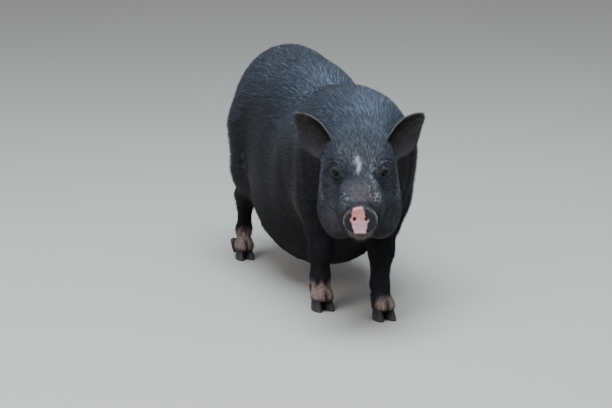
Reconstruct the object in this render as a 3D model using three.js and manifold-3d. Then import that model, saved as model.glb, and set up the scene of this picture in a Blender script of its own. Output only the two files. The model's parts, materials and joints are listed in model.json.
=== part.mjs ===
// Pot-bellied pig, life size, in mid-stride with the head turned to its right.
// Millimetres, +Z up. The animal faces -Y and its left side is +X.
// The flesh is one smooth body made of rounded masses. The head, neck and trunk are drawn from it as
// finely as each needs and trimmed by shared planes. The legs are rings around their own line, out to
// the same body, and each leg's sleeve cuts the trunk and neck back, so that all the parts meet evenly.
import * as THREE from "three";
import { mergeVertices } from "three/addons/utils/BufferGeometryUtils.js";
import Module from "manifold-3d";

const wasm = await Module();
wasm.setup();

// ---- Driving dimensions ----
const GAP = 0.35; // free space between neighbouring parts
const SIDES = { right: -1, left: 1 };

const colour = {
  hide: 0x33363d,
  pink: 0xd9a7ad,
  horn: 0x3b3532,
  eye: 0x17100c,
};

// Head: turned to the animal's right and nose down, about the point midway between the eyes.
const head = {
  centre: { f: 350, l: -64, u: 290 },
  turn: -20, // degrees, to the right
  pitch: -26, // degrees, nose down
};
const eye = {
  radius: 10.5,
  facets: [12, 8],
  along: 13,
  side: 38.5,
  up: 8.5,
  // The opening between the lids is an oval, out from the eye's middle the way the eye looks.
  lids: { halfWidth: 9, halfHeight: 7, depth: 9, out: 10, along: 0.7, side: 0.62, up: 0.35 },
};
const disc = {
  along: 140,
  side: -1.5,
  up: -5,
  halfWidth: 29.5,
  halfHeight: 25.5,
  thick: 13,
  rim: 4, // how far its edge is rounded over
  tilt: 12, // degrees, leaning back at the top
  points: 20,
  nostril: { side: 10, up: 4, halfWidth: 4.2, halfHeight: 5.4, depth: 14, facets: [7, 6] },
};
const ear = {
  length: 90,
  root: 8, // how far its base goes into the head
  halfWidth: 30,
  lobe: 0.6, // how much wider the ear is on its outer side
  cup: 17, // how far the edges curl forward of the back
  thick: 4.2,
  bluntness: 1.9, // the power of its outline: a larger one gives a blunter tip
  base: { along: -54, side: 47, up: 10 },
  out: 39, // degrees, how far the ear leans to its side
  back: 30, // degrees, how far it leans back from the face
  open: 14, // degrees, how far its mouth turns outward
  bend: 14, // how far the tip leans outward
  rings: 8,
  points: 7,
};

// Legs, each a chain from the body down to the coronet: forward, left, up and radius.
const legs = {
  foreleg_right: [
    { f: 172, l: -56, u: 290, r: 56 },
    { f: 165, l: -68, u: 200, r: 42 },
    { f: 196, l: -81, u: 112, r: 21 },
    { f: 190, l: -79, u: 60, r: 16.5 },
    { f: 202, l: -81, u: 30, r: 17 },
  ],
  foreleg_left: [
    { f: 178, l: 56, u: 290, r: 56 },
    { f: 180, l: 56, u: 200, r: 43 },
    { f: 238, l: 24, u: 112, r: 22 },
    { f: 286, l: 2, u: 60, r: 15.5 },
    { f: 304, l: 1, u: 30, r: 17 },
  ],
  hindleg_right: [
    { f: -190, l: -58, u: 275, r: 74 },
    { f: -168, l: -80, u: 200, r: 52 },
    { f: -236, l: -80, u: 136, r: 23 },
    { f: -254, l: -79, u: 112, r: 15 },
    { f: -246, l: -85, u: 60, r: 13 },
    { f: -233, l: -90, u: 30, r: 15.5 },
  ],
  hindleg_left: [
    { f: -190, l: 58, u: 275, r: 74 },
    { f: -178, l: 78, u: 200, r: 52 },
    { f: -278, l: 84, u: 136, r: 23 },
    { f: -304, l: 86, u: 112, r: 16 },
    { f: -298, l: 86, u: 60, r: 13 },
    { f: -284, l: 86, u: 30, r: 15.5 },
  ],
};
// Each leg is its own piece below this height. The reach is as far as that piece spreads there.
const legCut = {
  fore: { top: 172, reach: 58, ankle: 34, rings: 10, points: 12 },
  hind: { top: 186, reach: 68, ankle: 32, rings: 11, points: 12 },
};
const claw = {
  length: 44,
  width: 21,
  height: 30,
  ahead: 8, // of the middle of the foot
  spread: 11.5,
  splay: 5, // degrees
  narrow: 0.34, // share of its size that is lost on the way up to the coronet
  slope: 9, // how far the wall leans back on the way up
  point: 0.28, // share of its width that is lost towards the toe
  rings: 4,
  points: 9,
};
const dewclaw = { radius: 6.5, behind: 19, taper: 0.8, turn: 30, lean: -22, rings: 3, points: 7 };
// A hind foot is smaller, with its dewclaws longer and further apart.
const feet = {
  fore: { size: 1, dewclawUp: 42, dewclawSide: 11, dewclawLength: 26 },
  hind: { size: 0.9, dewclawUp: 37, dewclawSide: 18, dewclawLength: 31 },
};
const sole = 19; // the flesh of a foot ends here, between the claws
const tailRing = { steps: 9, points: 8, end: 0.6 };
const tail = [
  { f: -318, l: 0, u: 372, r: 15 },
  { f: -345, l: 2, u: 362, r: 13 },
  { f: -361, l: 5, u: 325, r: 9.5 },
  { f: -364, l: 9, u: 270, r: 7.5 },
  { f: -362, l: 12, u: 222, r: 10 }, // the tuft
  { f: -358, l: 14, u: 180, r: 4 },
];

// ---- Frames ----
const at = (forward, left, up) => new THREE.Vector3(left, -forward, up);
const degrees = THREE.MathUtils.degToRad;

// Places a thing built in its own forward, left and up directions.
function frameAt({ f, l, u }, turn = 0, pitch = 0) {
  const turned = new THREE.Matrix4().makeRotationZ(degrees(turn));
  const pitched = new THREE.Matrix4().makeRotationX(degrees(-pitch));
  return new THREE.Matrix4().setPosition(at(f, l, u)).multiply(turned).multiply(pitched);
}

const headFrame = frameAt(head.centre, head.turn, head.pitch);

// ---- Rounded masses: each gives the distance from a point to its surface ----
function oval(centre, half, frame = new THREE.Matrix4()) {
  const own = frame.clone().multiply(new THREE.Matrix4().setPosition(at(...centre)));
  const e = own.invert().elements;
  const [hy, hx, hz] = half;
  return (x, y, z) => {
    const a = (e[0] * x + e[4] * y + e[8] * z + e[12]) / hx;
    const b = (e[1] * x + e[5] * y + e[9] * z + e[13]) / hy;
    const c = (e[2] * x + e[6] * y + e[10] * z + e[14]) / hz;
    const level = Math.sqrt(a * a + b * b + c * c);
    const slope = Math.sqrt((a / hx) ** 2 + (b / hy) ** 2 + (c / hz) ** 2) || 1e-9;
    return (level * (level - 1)) / slope;
  };
}

function limb(start, end, startRadius, endRadius, frame = new THREE.Matrix4()) {
  const a = at(...start).applyMatrix4(frame);
  const axis = at(...end).applyMatrix4(frame).sub(a);
  const long = axis.lengthSq();
  return (x, y, z) => {
    const dx = x - a.x;
    const dy = y - a.y;
    const dz = z - a.z;
    const t = Math.min(1, Math.max(0, (dx * axis.x + dy * axis.y + dz * axis.z) / long));
    const away = Math.hypot(dx - t * axis.x, dy - t * axis.y, dz - t * axis.z);
    return away - startRadius - t * (endRadius - startRadius);
  };
}

const chain = (joints) =>
  joints.slice(1).map((j, i) => {
    const h = joints[i];
    return limb([h.f, h.l, h.u], [j.f, j.l, j.u], h.r, j.r);
  });

// Masses that melt into each other over the given width.
const melt = (masses, width) => (x, y, z) => {
  let d = masses[0](x, y, z);
  for (let i = 1; i < masses.length; i++) {
    const other = masses[i](x, y, z);
    const share = Math.max(width - Math.abs(d - other), 0) / width;
    d = Math.min(d, other) - (share * share * width) / 4;
  }
  return d;
};

// A mass with hollows pressed into it, their edges rounded over the given width.
const press = (mass, hollows, width) => (x, y, z) => {
  let d = mass(x, y, z);
  for (const hollow of hollows) {
    const other = -hollow(x, y, z);
    const share = Math.max(width - Math.abs(d - other), 0) / width;
    d = Math.max(d, other) + (share * share * width) / 4;
  }
  return d;
};

const bothSides = (make) => Object.values(SIDES).map(make);

// ---- The body's masses ----
const trunkMass = melt(
  [
    oval([-204, 0, 314], [120, 108, 127]), // rump
    ...bothSides((s) => oval([-188, s * 50, 250], [86, 55, 108])), // hams
    oval([-86, -2, 298], [172, 108, 135]), // loin
    oval([-27, 3, 187], [204, 131, 154]), // belly
    oval([84, -3, 258], [92, 112, 120]), // girth
    oval([165, 0, 256], [112, 90, 138]), // chest
    ...bothSides((s) => oval([165, s * 46, 284], [74, 44, 90])), // shoulders
    oval([142, -6, 334], [112, 46, 58]), // withers
  ],
  52,
);
const neckMass = melt(
  [
    limb([180, 0, 302], [296, -48, 290], 88, 58),
    limb([170, -6, 326], [286, -46, 312], 62, 41), // crest
    limb([190, 6, 232], [318, -52, 230], 72, 47), // throat
  ],
  40,
);
const headMass = press(
  melt(
    [
      oval([-42, 0, 0], [78, 56, 50], headFrame), // skull
      limb([-20, 0, -14], [112, 0, -5], 48, 29, headFrame), // muzzle
      limb([0, 0, -66], [104, 0, -42], 38, 23, headFrame), // lower jaw
      ...bothSides((s) => oval([84, s * 17, -15], [44, 22, 25], headFrame)), // lips
      ...bothSides((s) => oval([-36, s * 34, -8], [44, 24, 34], headFrame)), // temples
      ...bothSides((s) => oval([4, s * 37, -50], [60, 38, 46], headFrame)), // cheeks
      ...bothSides((s) => oval([42, s * 35, -68], [56, 36, 33], headFrame)), // jowls
      ...bothSides((s) => oval([-10, s * 34, 13], [24, 15, 12], headFrame)), // brows
    ],
    26,
  ),
  bothSides((s) => oval([26, s * 52, 11], [10, 9, 8], headFrame)), // eye sockets
  7,
);
const thighMasses = Object.values(legs).map((joints) => melt(chain(joints.slice(0, 3)), 16));
const shankMasses = Object.values(legs).map((joints) => {
  const foot = joints.at(-1);
  const toe = oval([foot.f + 4, foot.l, foot.u - 6], [22, foot.r + 4, 17]);
  return melt([...chain(joints.slice(2)), toe], 14);
});
const torso = melt([trunkMass, neckMass, headMass, ...thighMasses], 26);
const body = melt([torso, ...shankMasses], 16);

// ---- Drawing a mass as a closed mesh: one point in each cell that the surface crosses ----
// Moves a point onto the surface, by no more than the given reach.
function settle(mass, [x, y, z], reach) {
  const step = 0.5;
  const here = mass(x, y, z);
  const slope = new THREE.Vector3(
    mass(x + step, y, z) - mass(x - step, y, z),
    mass(x, y + step, z) - mass(x, y - step, z),
    mass(x, y, z + step) - mass(x, y, z - step),
  ).divideScalar(2 * step);
  const move = THREE.MathUtils.clamp(here / Math.max(slope.length(), 0.3), -reach, reach);
  return slope.setLength(-move).add(new THREE.Vector3(x, y, z)).toArray();
}

function draw(mass, low, high, cell) {
  const [nx, ny, nz] = ["x", "y", "z"].map((k) => Math.ceil((high[k] - low[k]) / cell[k]) + 4);
  const place = (i, j, k) => [
    low.x + (i - 2) * cell.x,
    low.y + (j - 2) * cell.y,
    low.z + (k - 2) * cell.z,
  ];
  const index = (i, j, k) => i + nx * (j + ny * k);
  const value = new Float32Array(nx * ny * nz);
  for (let k = 0; k < nz; k++)
    for (let j = 0; j < ny; j++)
      for (let i = 0; i < nx; i++) {
        const edge = Math.min(i, j, k) < 2 || i > nx - 2 || j > ny - 2 || k > nz - 2;
        value[index(i, j, k)] = edge ? cell.length() : mass(...place(i, j, k));
      }
  const corners = [0, 1, 2, 3, 4, 5, 6, 7].map((c) => [c & 1, (c >> 1) & 1, c >> 2]);
  const edges = corners.flatMap((_, a) => [1, 2, 4].filter((b) => !(a & b)).map((b) => [a, a | b]));
  const positions = [];
  const pointOf = new Int32Array(value.length).fill(-1);
  for (let k = 0; k < nz - 1; k++)
    for (let j = 0; j < ny - 1; j++)
      for (let i = 0; i < nx - 1; i++) {
        const v = corners.map(([a, b, c]) => value[index(i + a, j + b, k + c)]);
        const sum = [0, 0, 0];
        let crossed = 0;
        for (const [a, b] of edges) {
          if (v[a] < 0 === v[b] < 0) continue;
          const t = v[a] / (v[a] - v[b]);
          for (let n = 0; n < 3; n++) sum[n] += corners[a][n] + t * (corners[b][n] - corners[a][n]);
          crossed++;
        }
        if (!crossed) continue;
        pointOf[index(i, j, k)] = positions.length / 3;
        const middle = place(...[i, j, k].map((n, m) => n + sum[m] / crossed));
        positions.push(...settle(mass, middle, cell.length() / 6));
      }
  const faces = [];
  const steps = [index(1, 0, 0), index(0, 1, 0), index(0, 0, 1)];
  for (let k = 1; k < nz - 1; k++)
    for (let j = 1; j < ny - 1; j++)
      for (let i = 1; i < nx - 1; i++) {
        const here = index(i, j, k);
        for (let n = 0; n < 3; n++) {
          const inside = value[here] < 0;
          if (inside === value[here + steps[n]] < 0) continue;
          const p = steps[(n + 1) % 3];
          const q = steps[(n + 2) % 3];
          const ring = [here - p - q, here - q, here, here - p].map((m) => pointOf[m]);
          if (!inside) ring.reverse();
          const [a, b, c, d] = ring;
          faces.push(a, b, c, a, c, d);
        }
      }
  return new THREE.BufferGeometry()
    .setAttribute("position", new THREE.Float32BufferAttribute(positions, 3))
    .setIndex(faces);
}

// ---- Rings of points joined into a closed tube ----
function loft(rings) {
  const n = rings[0].length;
  const centres = [rings[0], rings.at(-1)].map((ring) =>
    ring.reduce((sum, p) => sum.add(p), new THREE.Vector3()).divideScalar(n),
  );
  const points = [...rings.flat(), ...centres];
  const [first, last] = [points.length - 2, points.length - 1];
  const faces = [];
  for (let i = 0; i < n; i++) {
    const j = (i + 1) % n;
    faces.push(first, j, i);
    for (let r = 0; r < rings.length - 1; r++) {
      const [a, b, c, d] = [r * n + i, r * n + j, (r + 1) * n + j, (r + 1) * n + i];
      faces.push(a, b, c, a, c, d);
    }
    faces.push(last, (rings.length - 1) * n + i, (rings.length - 1) * n + j);
  }
  return new THREE.BufferGeometry().setFromPoints(points).setIndex(faces);
}

// ---- Between three.js geometry and solids that can be cut ----
function solid(geometry, frame = new THREE.Matrix4()) {
  const placed = geometry.clone().applyMatrix4(frame);
  placed.deleteAttribute("normal");
  placed.deleteAttribute("uv");
  const merged = mergeVertices(placed, 1e-3);
  const vertProperties = merged.attributes.position.array;
  const triVerts = new Uint32Array(merged.index.array);
  const close = () => new wasm.Manifold(new wasm.Mesh({ numProp: 3, vertProperties, triVerts }));
  const made = close();
  if (made.volume() > 0) return made;
  triVerts.reverse(); // its rings ran the other way round
  return close();
}

function geometryOf(made) {
  const { numProp, numVert, vertProperties, triVerts } = made.getMesh();
  const positions = new Float32Array(numVert * 3);
  for (let i = 0; i < numVert; i++)
    positions.set(vertProperties.subarray(i * numProp, i * numProp + 3), i * 3);
  const geometry = new THREE.BufferGeometry()
    .setAttribute("position", new THREE.BufferAttribute(positions, 3))
    .setIndex(new THREE.BufferAttribute(triVerts, 1));
  geometry.computeVertexNormals();
  return geometry;
}

const largest = (made) => made.decompose().sort((a, b) => b.volume() - a.volume())[0];
const inHead = ({ along, up }, across) =>
  headFrame.clone().setPosition(at(along, across, up).applyMatrix4(headFrame));

// ---- Small parts, each with a snug and a grown form that cuts its socket ----
function discSolid(grow = 0) {
  const { halfWidth: w, halfHeight: h, thick: t, rim, points } = disc;
  // From the back, over the rim, to the slightly dished face.
  const profile = [
    [0, -t - grow],
    [w * 0.86 + grow, -t - grow],
    [w - rim * 0.6 + grow, -rim * 1.4],
    [w + grow, -rim * 0.6],
    [w - rim * 0.2 + grow, rim * 0.15 + grow],
    [w - rim + grow, rim * 0.4 + grow],
    [w * 0.6, rim * 0.1 + grow],
    [0, grow],
  ].map(([r, y]) => new THREE.Vector2(r, y));
  const round = new THREE.LatheGeometry(profile, points);
  round.scale(1, 1, h / w); // the lathe's own axis is Y, which becomes the way the snout points
  round.rotateX(Math.PI);
  const place = inHead(disc, disc.side).multiply(new THREE.Matrix4().makeRotationX(degrees(-disc.tilt)));
  if (grow) return solid(round, place);
  const { side, up, halfWidth, halfHeight, depth, facets } = disc.nostril;
  const holes = bothSides((s) => {
    const hole = new THREE.SphereGeometry(1, ...facets).scale(halfWidth, depth, halfHeight);
    return solid(hole.translate(s * side, 1, up), place);
  });
  return holes.reduce((whole, hole) => whole.subtract(hole), solid(round, place));
}

function eyeSolid(side, grow = 0) {
  const ball = new THREE.SphereGeometry(eye.radius + grow, ...eye.facets);
  return solid(ball, inHead(eye, side * eye.side));
}

// The space between the lids, in front of the eyeball.
function lidsSolid(side) {
  const { halfWidth, halfHeight, depth, out, ...look } = eye.lids;
  const place = inHead(eye, side * eye.side)
    .multiply(new THREE.Matrix4().makeRotationZ(side * Math.atan2(look.side, look.along)))
    .multiply(new THREE.Matrix4().setPosition(at(out, 0, look.up * out)));
  return solid(new THREE.SphereGeometry(1, 8, 6).scale(halfWidth, depth, halfHeight), place);
}

// An upright leaf, cupped forward and outward, thick at its root and thin at its tip.
function earSolid(side, grow = 0) {
  const rings = [];
  for (let i = 0; i < ear.rings; i++) {
    const t = i / (ear.rings - 1);
    const outline = Math.sqrt(Math.max(1 - t ** ear.bluntness, 0.01));
    const width = ear.halfWidth * outline * (0.72 + 0.5 * t);
    const cup = ear.cup * (1 - 0.75 * t);
    const thick = ear.thick * (1.5 - 0.95 * t) + 3 * grow;
    const end = i ? (i < ear.rings - 1 ? 0 : grow) : -grow;
    const height = t * (ear.length + ear.root) - ear.root + end;
    const bend = ear.bend * t * t;
    const back = [];
    const front = [];
    for (let j = 0; j < ear.points; j++) {
      const a = ((j / (ear.points - 1)) * 2 - 1) * (1 + grow / width);
      const taper = Math.sqrt(Math.max(1 - 0.8 * a * a, 0.1));
      const lobe = 1 + ear.lobe * Math.max(a, 0) * Math.sin(Math.PI * Math.min(1.25 * t, 1));
      const curl = cup * a * a;
      const across = side * (a * lobe * width + bend);
      back.push(at(curl - (thick / 2) * taper, across, height));
      front.push(at(curl + (thick / 2) * taper, across, height));
    }
    rings.push([...back, ...front.reverse()]);
  }
  const place = inHead(ear.base, side * ear.base.side)
    .multiply(new THREE.Matrix4().makeRotationX(-degrees(ear.back)))
    .multiply(new THREE.Matrix4().makeRotationY(side * degrees(ear.out)))
    .multiply(new THREE.Matrix4().makeRotationZ(side * degrees(ear.open)));
  return solid(loft(rings), place);
}

// One horny toe: a pointed oval footprint that narrows up to the coronet.
function clawSolid(foot, { size }, side, grow = 0) {
  const rings = [];
  for (let i = 0; i < claw.rings; i++) {
    const t = i / (claw.rings - 1);
    const narrow = size * (1 - claw.narrow * t ** 1.5);
    const ring = [];
    for (let j = 0; j < claw.points; j++) {
      const a = (j / claw.points) * 2 * Math.PI;
      const point = 1 - claw.point * Math.max(Math.cos(a), 0) ** 2;
      const along = (Math.cos(a) * claw.length * narrow) / 2 - claw.slope * t;
      const across = (Math.sin(a) * claw.width * narrow * point) / 2;
      const out = new THREE.Vector2(along, across);
      out.setLength(out.length() + grow);
      ring.push(at(out.x, out.y, t * claw.height * size + (i ? grow : 0)));
    }
    rings.push(ring);
  }
  const place = frameAt({ f: foot.f + claw.ahead, l: foot.l, u: 0 }, side * claw.splay).multiply(
    new THREE.Matrix4().setPosition(at(0, side * claw.spread * size, 0)),
  );
  return solid(loft(rings), place);
}

// The small raised toes behind the foot.
function dewclawSolid(foot, { size, dewclawUp, dewclawSide, dewclawLength }, side, grow = 0) {
  const rings = [];
  for (let i = 0; i < dewclaw.rings; i++) {
    const t = i / (dewclaw.rings - 1);
    const r = dewclaw.radius * Math.sqrt(1 - dewclaw.taper * t * t) + grow;
    const height = -t * (dewclawLength + grow) + (i ? 0 : 2 * grow);
    const ring = [];
    for (let j = 0; j < dewclaw.points; j++) {
      const a = (j / dewclaw.points) * 2 * Math.PI;
      ring.push(at(Math.sin(a) * r, Math.cos(a) * r, height));
    }
    rings.push(ring);
  }
  const spot = { f: foot.f - dewclaw.behind * size, l: foot.l + side * dewclawSide, u: dewclawUp };
  return solid(loft(rings), frameAt(spot, side * dewclaw.turn, dewclaw.lean));
}

function tailSolid(grow = 0) {
  const path = new THREE.CatmullRomCurve3(tail.map(({ f, l, u }) => at(f, l, u)));
  const { steps, points, end } = tailRing;
  const { normals, binormals } = path.computeFrenetFrames(steps);
  const rings = [];
  for (let i = 0; i <= steps; i++) {
    const t = (i / steps) * (tail.length - 1);
    const n = Math.min(Math.floor(t), tail.length - 2);
    const thick = THREE.MathUtils.lerp(tail[n].r, tail[n + 1].r, t - n);
    const r = thick * (i === steps ? end : 1) + grow;
    const centre = path.getPoint(i / steps);
    const ring = [];
    for (let j = 0; j < points; j++) {
      const a = (j / points) * 2 * Math.PI;
      const out = normals[i].clone().multiplyScalar(Math.cos(a) * r);
      ring.push(centre.clone().add(out).addScaledVector(binormals[i], Math.sin(a) * r));
    }
    rings.push(ring);
  }
  return solid(loft(rings));
}

// ---- Parting the flesh ----
const planes = {
  head: { point: at(276, -34, 300), normal: at(0.86, -0.42, 0.16).normalize() },
  neck: { point: at(196, 0, 300), normal: at(0.97, -0.2, 0.1).normalize() },
};
const keepAhead = (made, { point, normal }, gap = GAP / 2) =>
  made.trimByPlane(normal.toArray(), point.dot(normal) + gap);
const keepBehind = (made, { point, normal }, gap = GAP / 2) =>
  made.trimByPlane(normal.clone().negate().toArray(), -point.dot(normal) + gap);

function bounds(low, high) {
  const box = new THREE.Box3().setFromPoints([at(...low), at(...high)]);
  return [box.min, box.max];
}

// Level rings down a leg's own line, each as wide as its radius function says.
function legRings(name, heights, radiusAt) {
  const joints = legs[name];
  const { points } = legCut[name.slice(0, 4)];
  return heights.map((u) => {
    const lower = joints.find((joint) => joint.u <= u) ?? joints.at(-1);
    const upper = joints[Math.max(joints.indexOf(lower) - 1, 0)];
    const t = THREE.MathUtils.clamp((upper.u - u) / (upper.u - lower.u), 0, 1);
    const centre = at(upper.f, upper.l, u).lerp(at(lower.f, lower.l, u), t);
    return Array.from({ length: points }, (_, i) => {
      const a = (i / points) * 2 * Math.PI;
      const out = new THREE.Vector3(Math.cos(a), Math.sin(a), 0);
      return centre.clone().addScaledVector(out, radiusAt(centre, out, u));
    });
  });
}

const cutOf = (name) => legCut[name.slice(0, 4)];
// The sleeve is narrow up to the slim of the leg and widens from there. The rings are closer together
// towards the foot.
const slim = 80;
const crowd = 1.15;
const reachAt = ({ top, reach, ankle }, u) =>
  THREE.MathUtils.lerp(ankle, reach, THREE.MathUtils.smoothstep(u, slim, top));
const heightsDown = ({ top, rings }) =>
  Array.from({ length: rings }, (_, i) => sole + (top - sole) * (1 - i / (rings - 1)) ** crowd);

// The flesh of a leg, out to the body's surface or to the reach of its piece.
function legSolid(name) {
  const cut = cutOf(name);
  const heights = heightsDown(cut);
  heights[0] -= GAP;
  const skin = (centre, out, u) => {
    const far = reachAt(cut, u) - GAP;
    const point = centre.clone();
    let r = 0;
    let d = body(point.x, point.y, point.z);
    while (d < -0.05 && r < far) {
      r += Math.max(-0.7 * d, 0.1);
      point.copy(centre).addScaledVector(out, r);
      d = body(point.x, point.y, point.z);
    }
    return Math.min(r, far);
  };
  return solid(loft(legRings(name, heights, skin)));
}

// Everything that belongs to the leg's piece.
function legSleeve(name) {
  const cut = cutOf(name);
  const heights = [...heightsDown(cut), -10]; // past the floor
  return solid(loft(legRings(name, heights, (centre, out, u) => reachAt(cut, u) + GAP)));
}

// Each part of the torso, drawn between two corners (forward, left and up) in cells of its own size.
const drawn = (low, high, cell) => solid(draw(torso, ...bounds(low, high), new THREE.Vector3(...cell)));
const flesh = {
  head: keepAhead(drawn([230, -190, 140], [510, 80, 420], [12, 12, 12]), planes.head),
  neck: keepBehind(
    keepAhead(drawn([130, -150, 100], [340, 130, 450], [28, 28, 28]), planes.neck),
    planes.head,
  ),
  trunk: keepBehind(drawn([-380, -190, 20], [260, 190, 470], [32, 38, 32]), planes.neck),
};
for (const name in legs) {
  flesh[name] = legSolid(name);
  flesh.trunk = flesh.trunk.subtract(legSleeve(name));
  flesh.neck = flesh.neck.subtract(legSleeve(name));
}

// ---- Assembly ----
const pig = new THREE.Group();
function add(name, made, tint, roughness) {
  const material = new THREE.MeshStandardMaterial({ color: tint, roughness, metalness: 0 });
  const mesh = new THREE.Mesh(geometryOf(made), material);
  mesh.name = name;
  pig.add(mesh);
}

add("snout_disc", discSolid(), colour.pink, 0.45);
flesh.head = flesh.head.subtract(discSolid(GAP));
for (const [side, s] of Object.entries(SIDES)) {
  add("eye_" + side, eyeSolid(s), colour.eye, 0.1);
  add("ear_" + side, earSolid(s), colour.hide, 0.8);
  for (const socket of [eyeSolid(s, GAP), lidsSolid(s), earSolid(s, GAP)])
    flesh.head = flesh.head.subtract(socket);
}
add("tail", tailSolid(), colour.hide, 0.8);
flesh.trunk = flesh.trunk.subtract(tailSolid(GAP));
for (const name in legs) {
  const foot = legs[name].at(-1);
  const kind = feet[name.slice(0, 4)];
  const leg = name.replace("leg", "");
  for (const [side, s] of Object.entries(SIDES)) {
    add("claw_" + leg + "_" + side, clawSolid(foot, kind, s), colour.horn, 0.6);
    add("dewclaw_" + leg + "_" + side, dewclawSolid(foot, kind, s), colour.horn, 0.6);
    for (const toe of [clawSolid, dewclawSolid])
      flesh[name] = flesh[name].subtract(toe(foot, kind, s, GAP));
  }
}
for (const name in flesh) add(name, largest(flesh[name]), colour.hide, 0.85);

// The origin is on the floor, below the middle of the animal's box.
const box = new THREE.Box3().setFromObject(pig);
const middle = box.getCenter(new THREE.Vector3());
pig.position.set(-middle.x, -middle.y, -box.min.z);

export default pig;
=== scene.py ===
import bpy
import json
import math
import time
import numpy as np
from mathutils import Matrix, Vector

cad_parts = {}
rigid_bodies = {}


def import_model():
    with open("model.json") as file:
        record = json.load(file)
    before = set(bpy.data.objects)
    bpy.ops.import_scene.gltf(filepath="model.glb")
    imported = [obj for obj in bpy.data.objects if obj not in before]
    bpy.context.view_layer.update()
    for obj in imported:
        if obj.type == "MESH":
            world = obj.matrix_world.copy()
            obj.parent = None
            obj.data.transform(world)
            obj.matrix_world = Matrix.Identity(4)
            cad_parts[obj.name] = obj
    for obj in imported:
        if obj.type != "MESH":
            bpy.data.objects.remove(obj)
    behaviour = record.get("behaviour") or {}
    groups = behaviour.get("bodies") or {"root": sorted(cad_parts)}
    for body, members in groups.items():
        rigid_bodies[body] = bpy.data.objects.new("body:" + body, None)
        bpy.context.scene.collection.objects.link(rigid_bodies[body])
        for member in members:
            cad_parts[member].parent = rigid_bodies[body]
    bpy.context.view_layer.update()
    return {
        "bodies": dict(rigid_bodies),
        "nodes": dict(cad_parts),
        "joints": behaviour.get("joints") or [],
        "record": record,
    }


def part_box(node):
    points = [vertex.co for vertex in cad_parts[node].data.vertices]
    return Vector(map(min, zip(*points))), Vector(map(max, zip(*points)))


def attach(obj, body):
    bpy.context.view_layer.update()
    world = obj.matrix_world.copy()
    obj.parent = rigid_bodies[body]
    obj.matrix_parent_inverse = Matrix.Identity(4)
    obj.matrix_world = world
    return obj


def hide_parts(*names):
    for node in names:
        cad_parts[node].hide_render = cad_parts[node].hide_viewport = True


# A black pot-bellied pig, life size, standing. The body is one smooth skin with folds and lids, and
# over it lie bristles of solid mesh. Its sizes are in millimetres in the animal's own frame, forward,
# left and up, and each mesh is made in metres, at the place that the frame's own eyes give.

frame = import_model()
startTime = time.time()


def tell(stage):
    print(f"{stage}: {time.time() - startTime:.1f} s")


sides = {"right": -1, "left": 1}


def place(forward=0.0, left=0.0, up=0.0):
    m = np.eye(4)
    m[:3, 3] = left, -forward, up
    return m


def turned(axis, degrees):
    return np.array(Matrix.Rotation(math.radians(degrees), 4, axis))


def smooth(value, low, high):
    t = np.clip((value - low) / (high - low), 0, 1)
    return t * t * (3 - 2 * t)


def bell(value, middle, width):
    return np.exp(-(((value - middle) / width) ** 2))


def dot(a, b):
    return np.einsum("ij,ij->i", a, b)


def nearTo(p, centre, reach):
    q = p - centre
    return dot(q, q) < reach**2


# Points as a frame sees them: forward, left and up.
def inFrame(p, frame):
    back = np.linalg.inv(frame)
    q = p @ back[:3, :3].T.astype("f4") + back[:3, 3].astype("f4")
    return -q[:, 1], q[:, 0], q[:, 2]


headAt = {"forward": 350, "left": -64, "up": 290, "turn": -20, "pitch": 26}
headFrame = (
    place(headAt["forward"], headAt["left"], headAt["up"])
    @ turned("Z", headAt["turn"])
    @ turned("X", headAt["pitch"])
)
eyeSize = {
    "radius": 12,
    "solidAt": (13, 38.5, 8.5),  # the middle of the solid's eye, along, beside and above the head's
    "at": (12, 38.2, 7.2),
    "lookAlong": 0.78, "lookSide": 0.5, "lookUp": 0.29,
}


def eyeFrame(side):
    look = math.degrees(math.atan2(eyeSize["lookSide"], eyeSize["lookAlong"]))
    rise = math.degrees(math.asin(eyeSize["lookUp"]))
    return (
        headFrame
        @ place(eyeSize["at"][0], side * eyeSize["at"][1], eyeSize["at"][2])
        @ turned("Z", side * look)
        @ turned("X", -rise)
    )


# The animal's frame sits where the solids' own eyes are.
seen = [sum(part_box("eye_" + side), Vector()) / 2 for side in sides]
along, beside, above = eyeSize["solidAt"]
meant = [(headFrame @ place(along, s * beside, above))[:3, 3] for s in sides.values()]
shift = np.mean([np.array(v) * 1000 for v in seen], axis=0) - np.mean(meant, axis=0)


def toRow(points):
    return (np.asarray(points, float) + shift) / 1000


# Rounded masses: each gives the distance from points to its surface.
def oval(centre, half, frame=np.eye(4)):
    back = np.linalg.inv(frame @ place(*centre))
    size = np.array([half[1], half[0], half[2]], float)
    turn = (back[:3, :3] / size[:, None]).T.astype("f4")
    move = (back[:3, 3] / size).astype("f4")
    inverse = (1 / size).astype("f4")

    def far(p):
        q = p @ turn + move
        level = np.sqrt(dot(q, q))
        q *= inverse
        slope = np.sqrt(dot(q, q)) + 1e-9
        return level * (level - 1) / slope

    return far


def limb(start, end, startRadius, endRadius, frame=np.eye(4)):
    a = (frame @ place(*start))[:3, 3]
    axis = (frame @ place(*end))[:3, 3] - a
    long = axis @ axis
    a, axis = a.astype("f4"), axis.astype("f4")

    def far(p):
        q = p - a
        t = np.clip(q @ axis / long, 0, 1).astype("f4")
        q -= t[:, None] * axis
        return np.sqrt(dot(q, q)) - startRadius - t * (endRadius - startRadius)

    return far


def chain(joints):
    return [limb(h[:3], j[:3], h[3], j[3]) for h, j in zip(joints, joints[1:])]


def blendMin(a, b, width):
    share = np.maximum(width - np.abs(a - b), 0) / width
    return np.minimum(a, b) - share * share * width / 4


def blendMax(a, b, width):
    return -blendMin(-a, -b, width)


def melt(masses, width):
    def far(p):
        d = masses[0](p)
        for mass in masses[1:]:
            d = blendMin(d, mass(p), width)
        return d

    return far


def bothSides(make):
    return [make(s) for s in sides.values()]


farAway = 60  # what a mass that is left out is taken to be away


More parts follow.
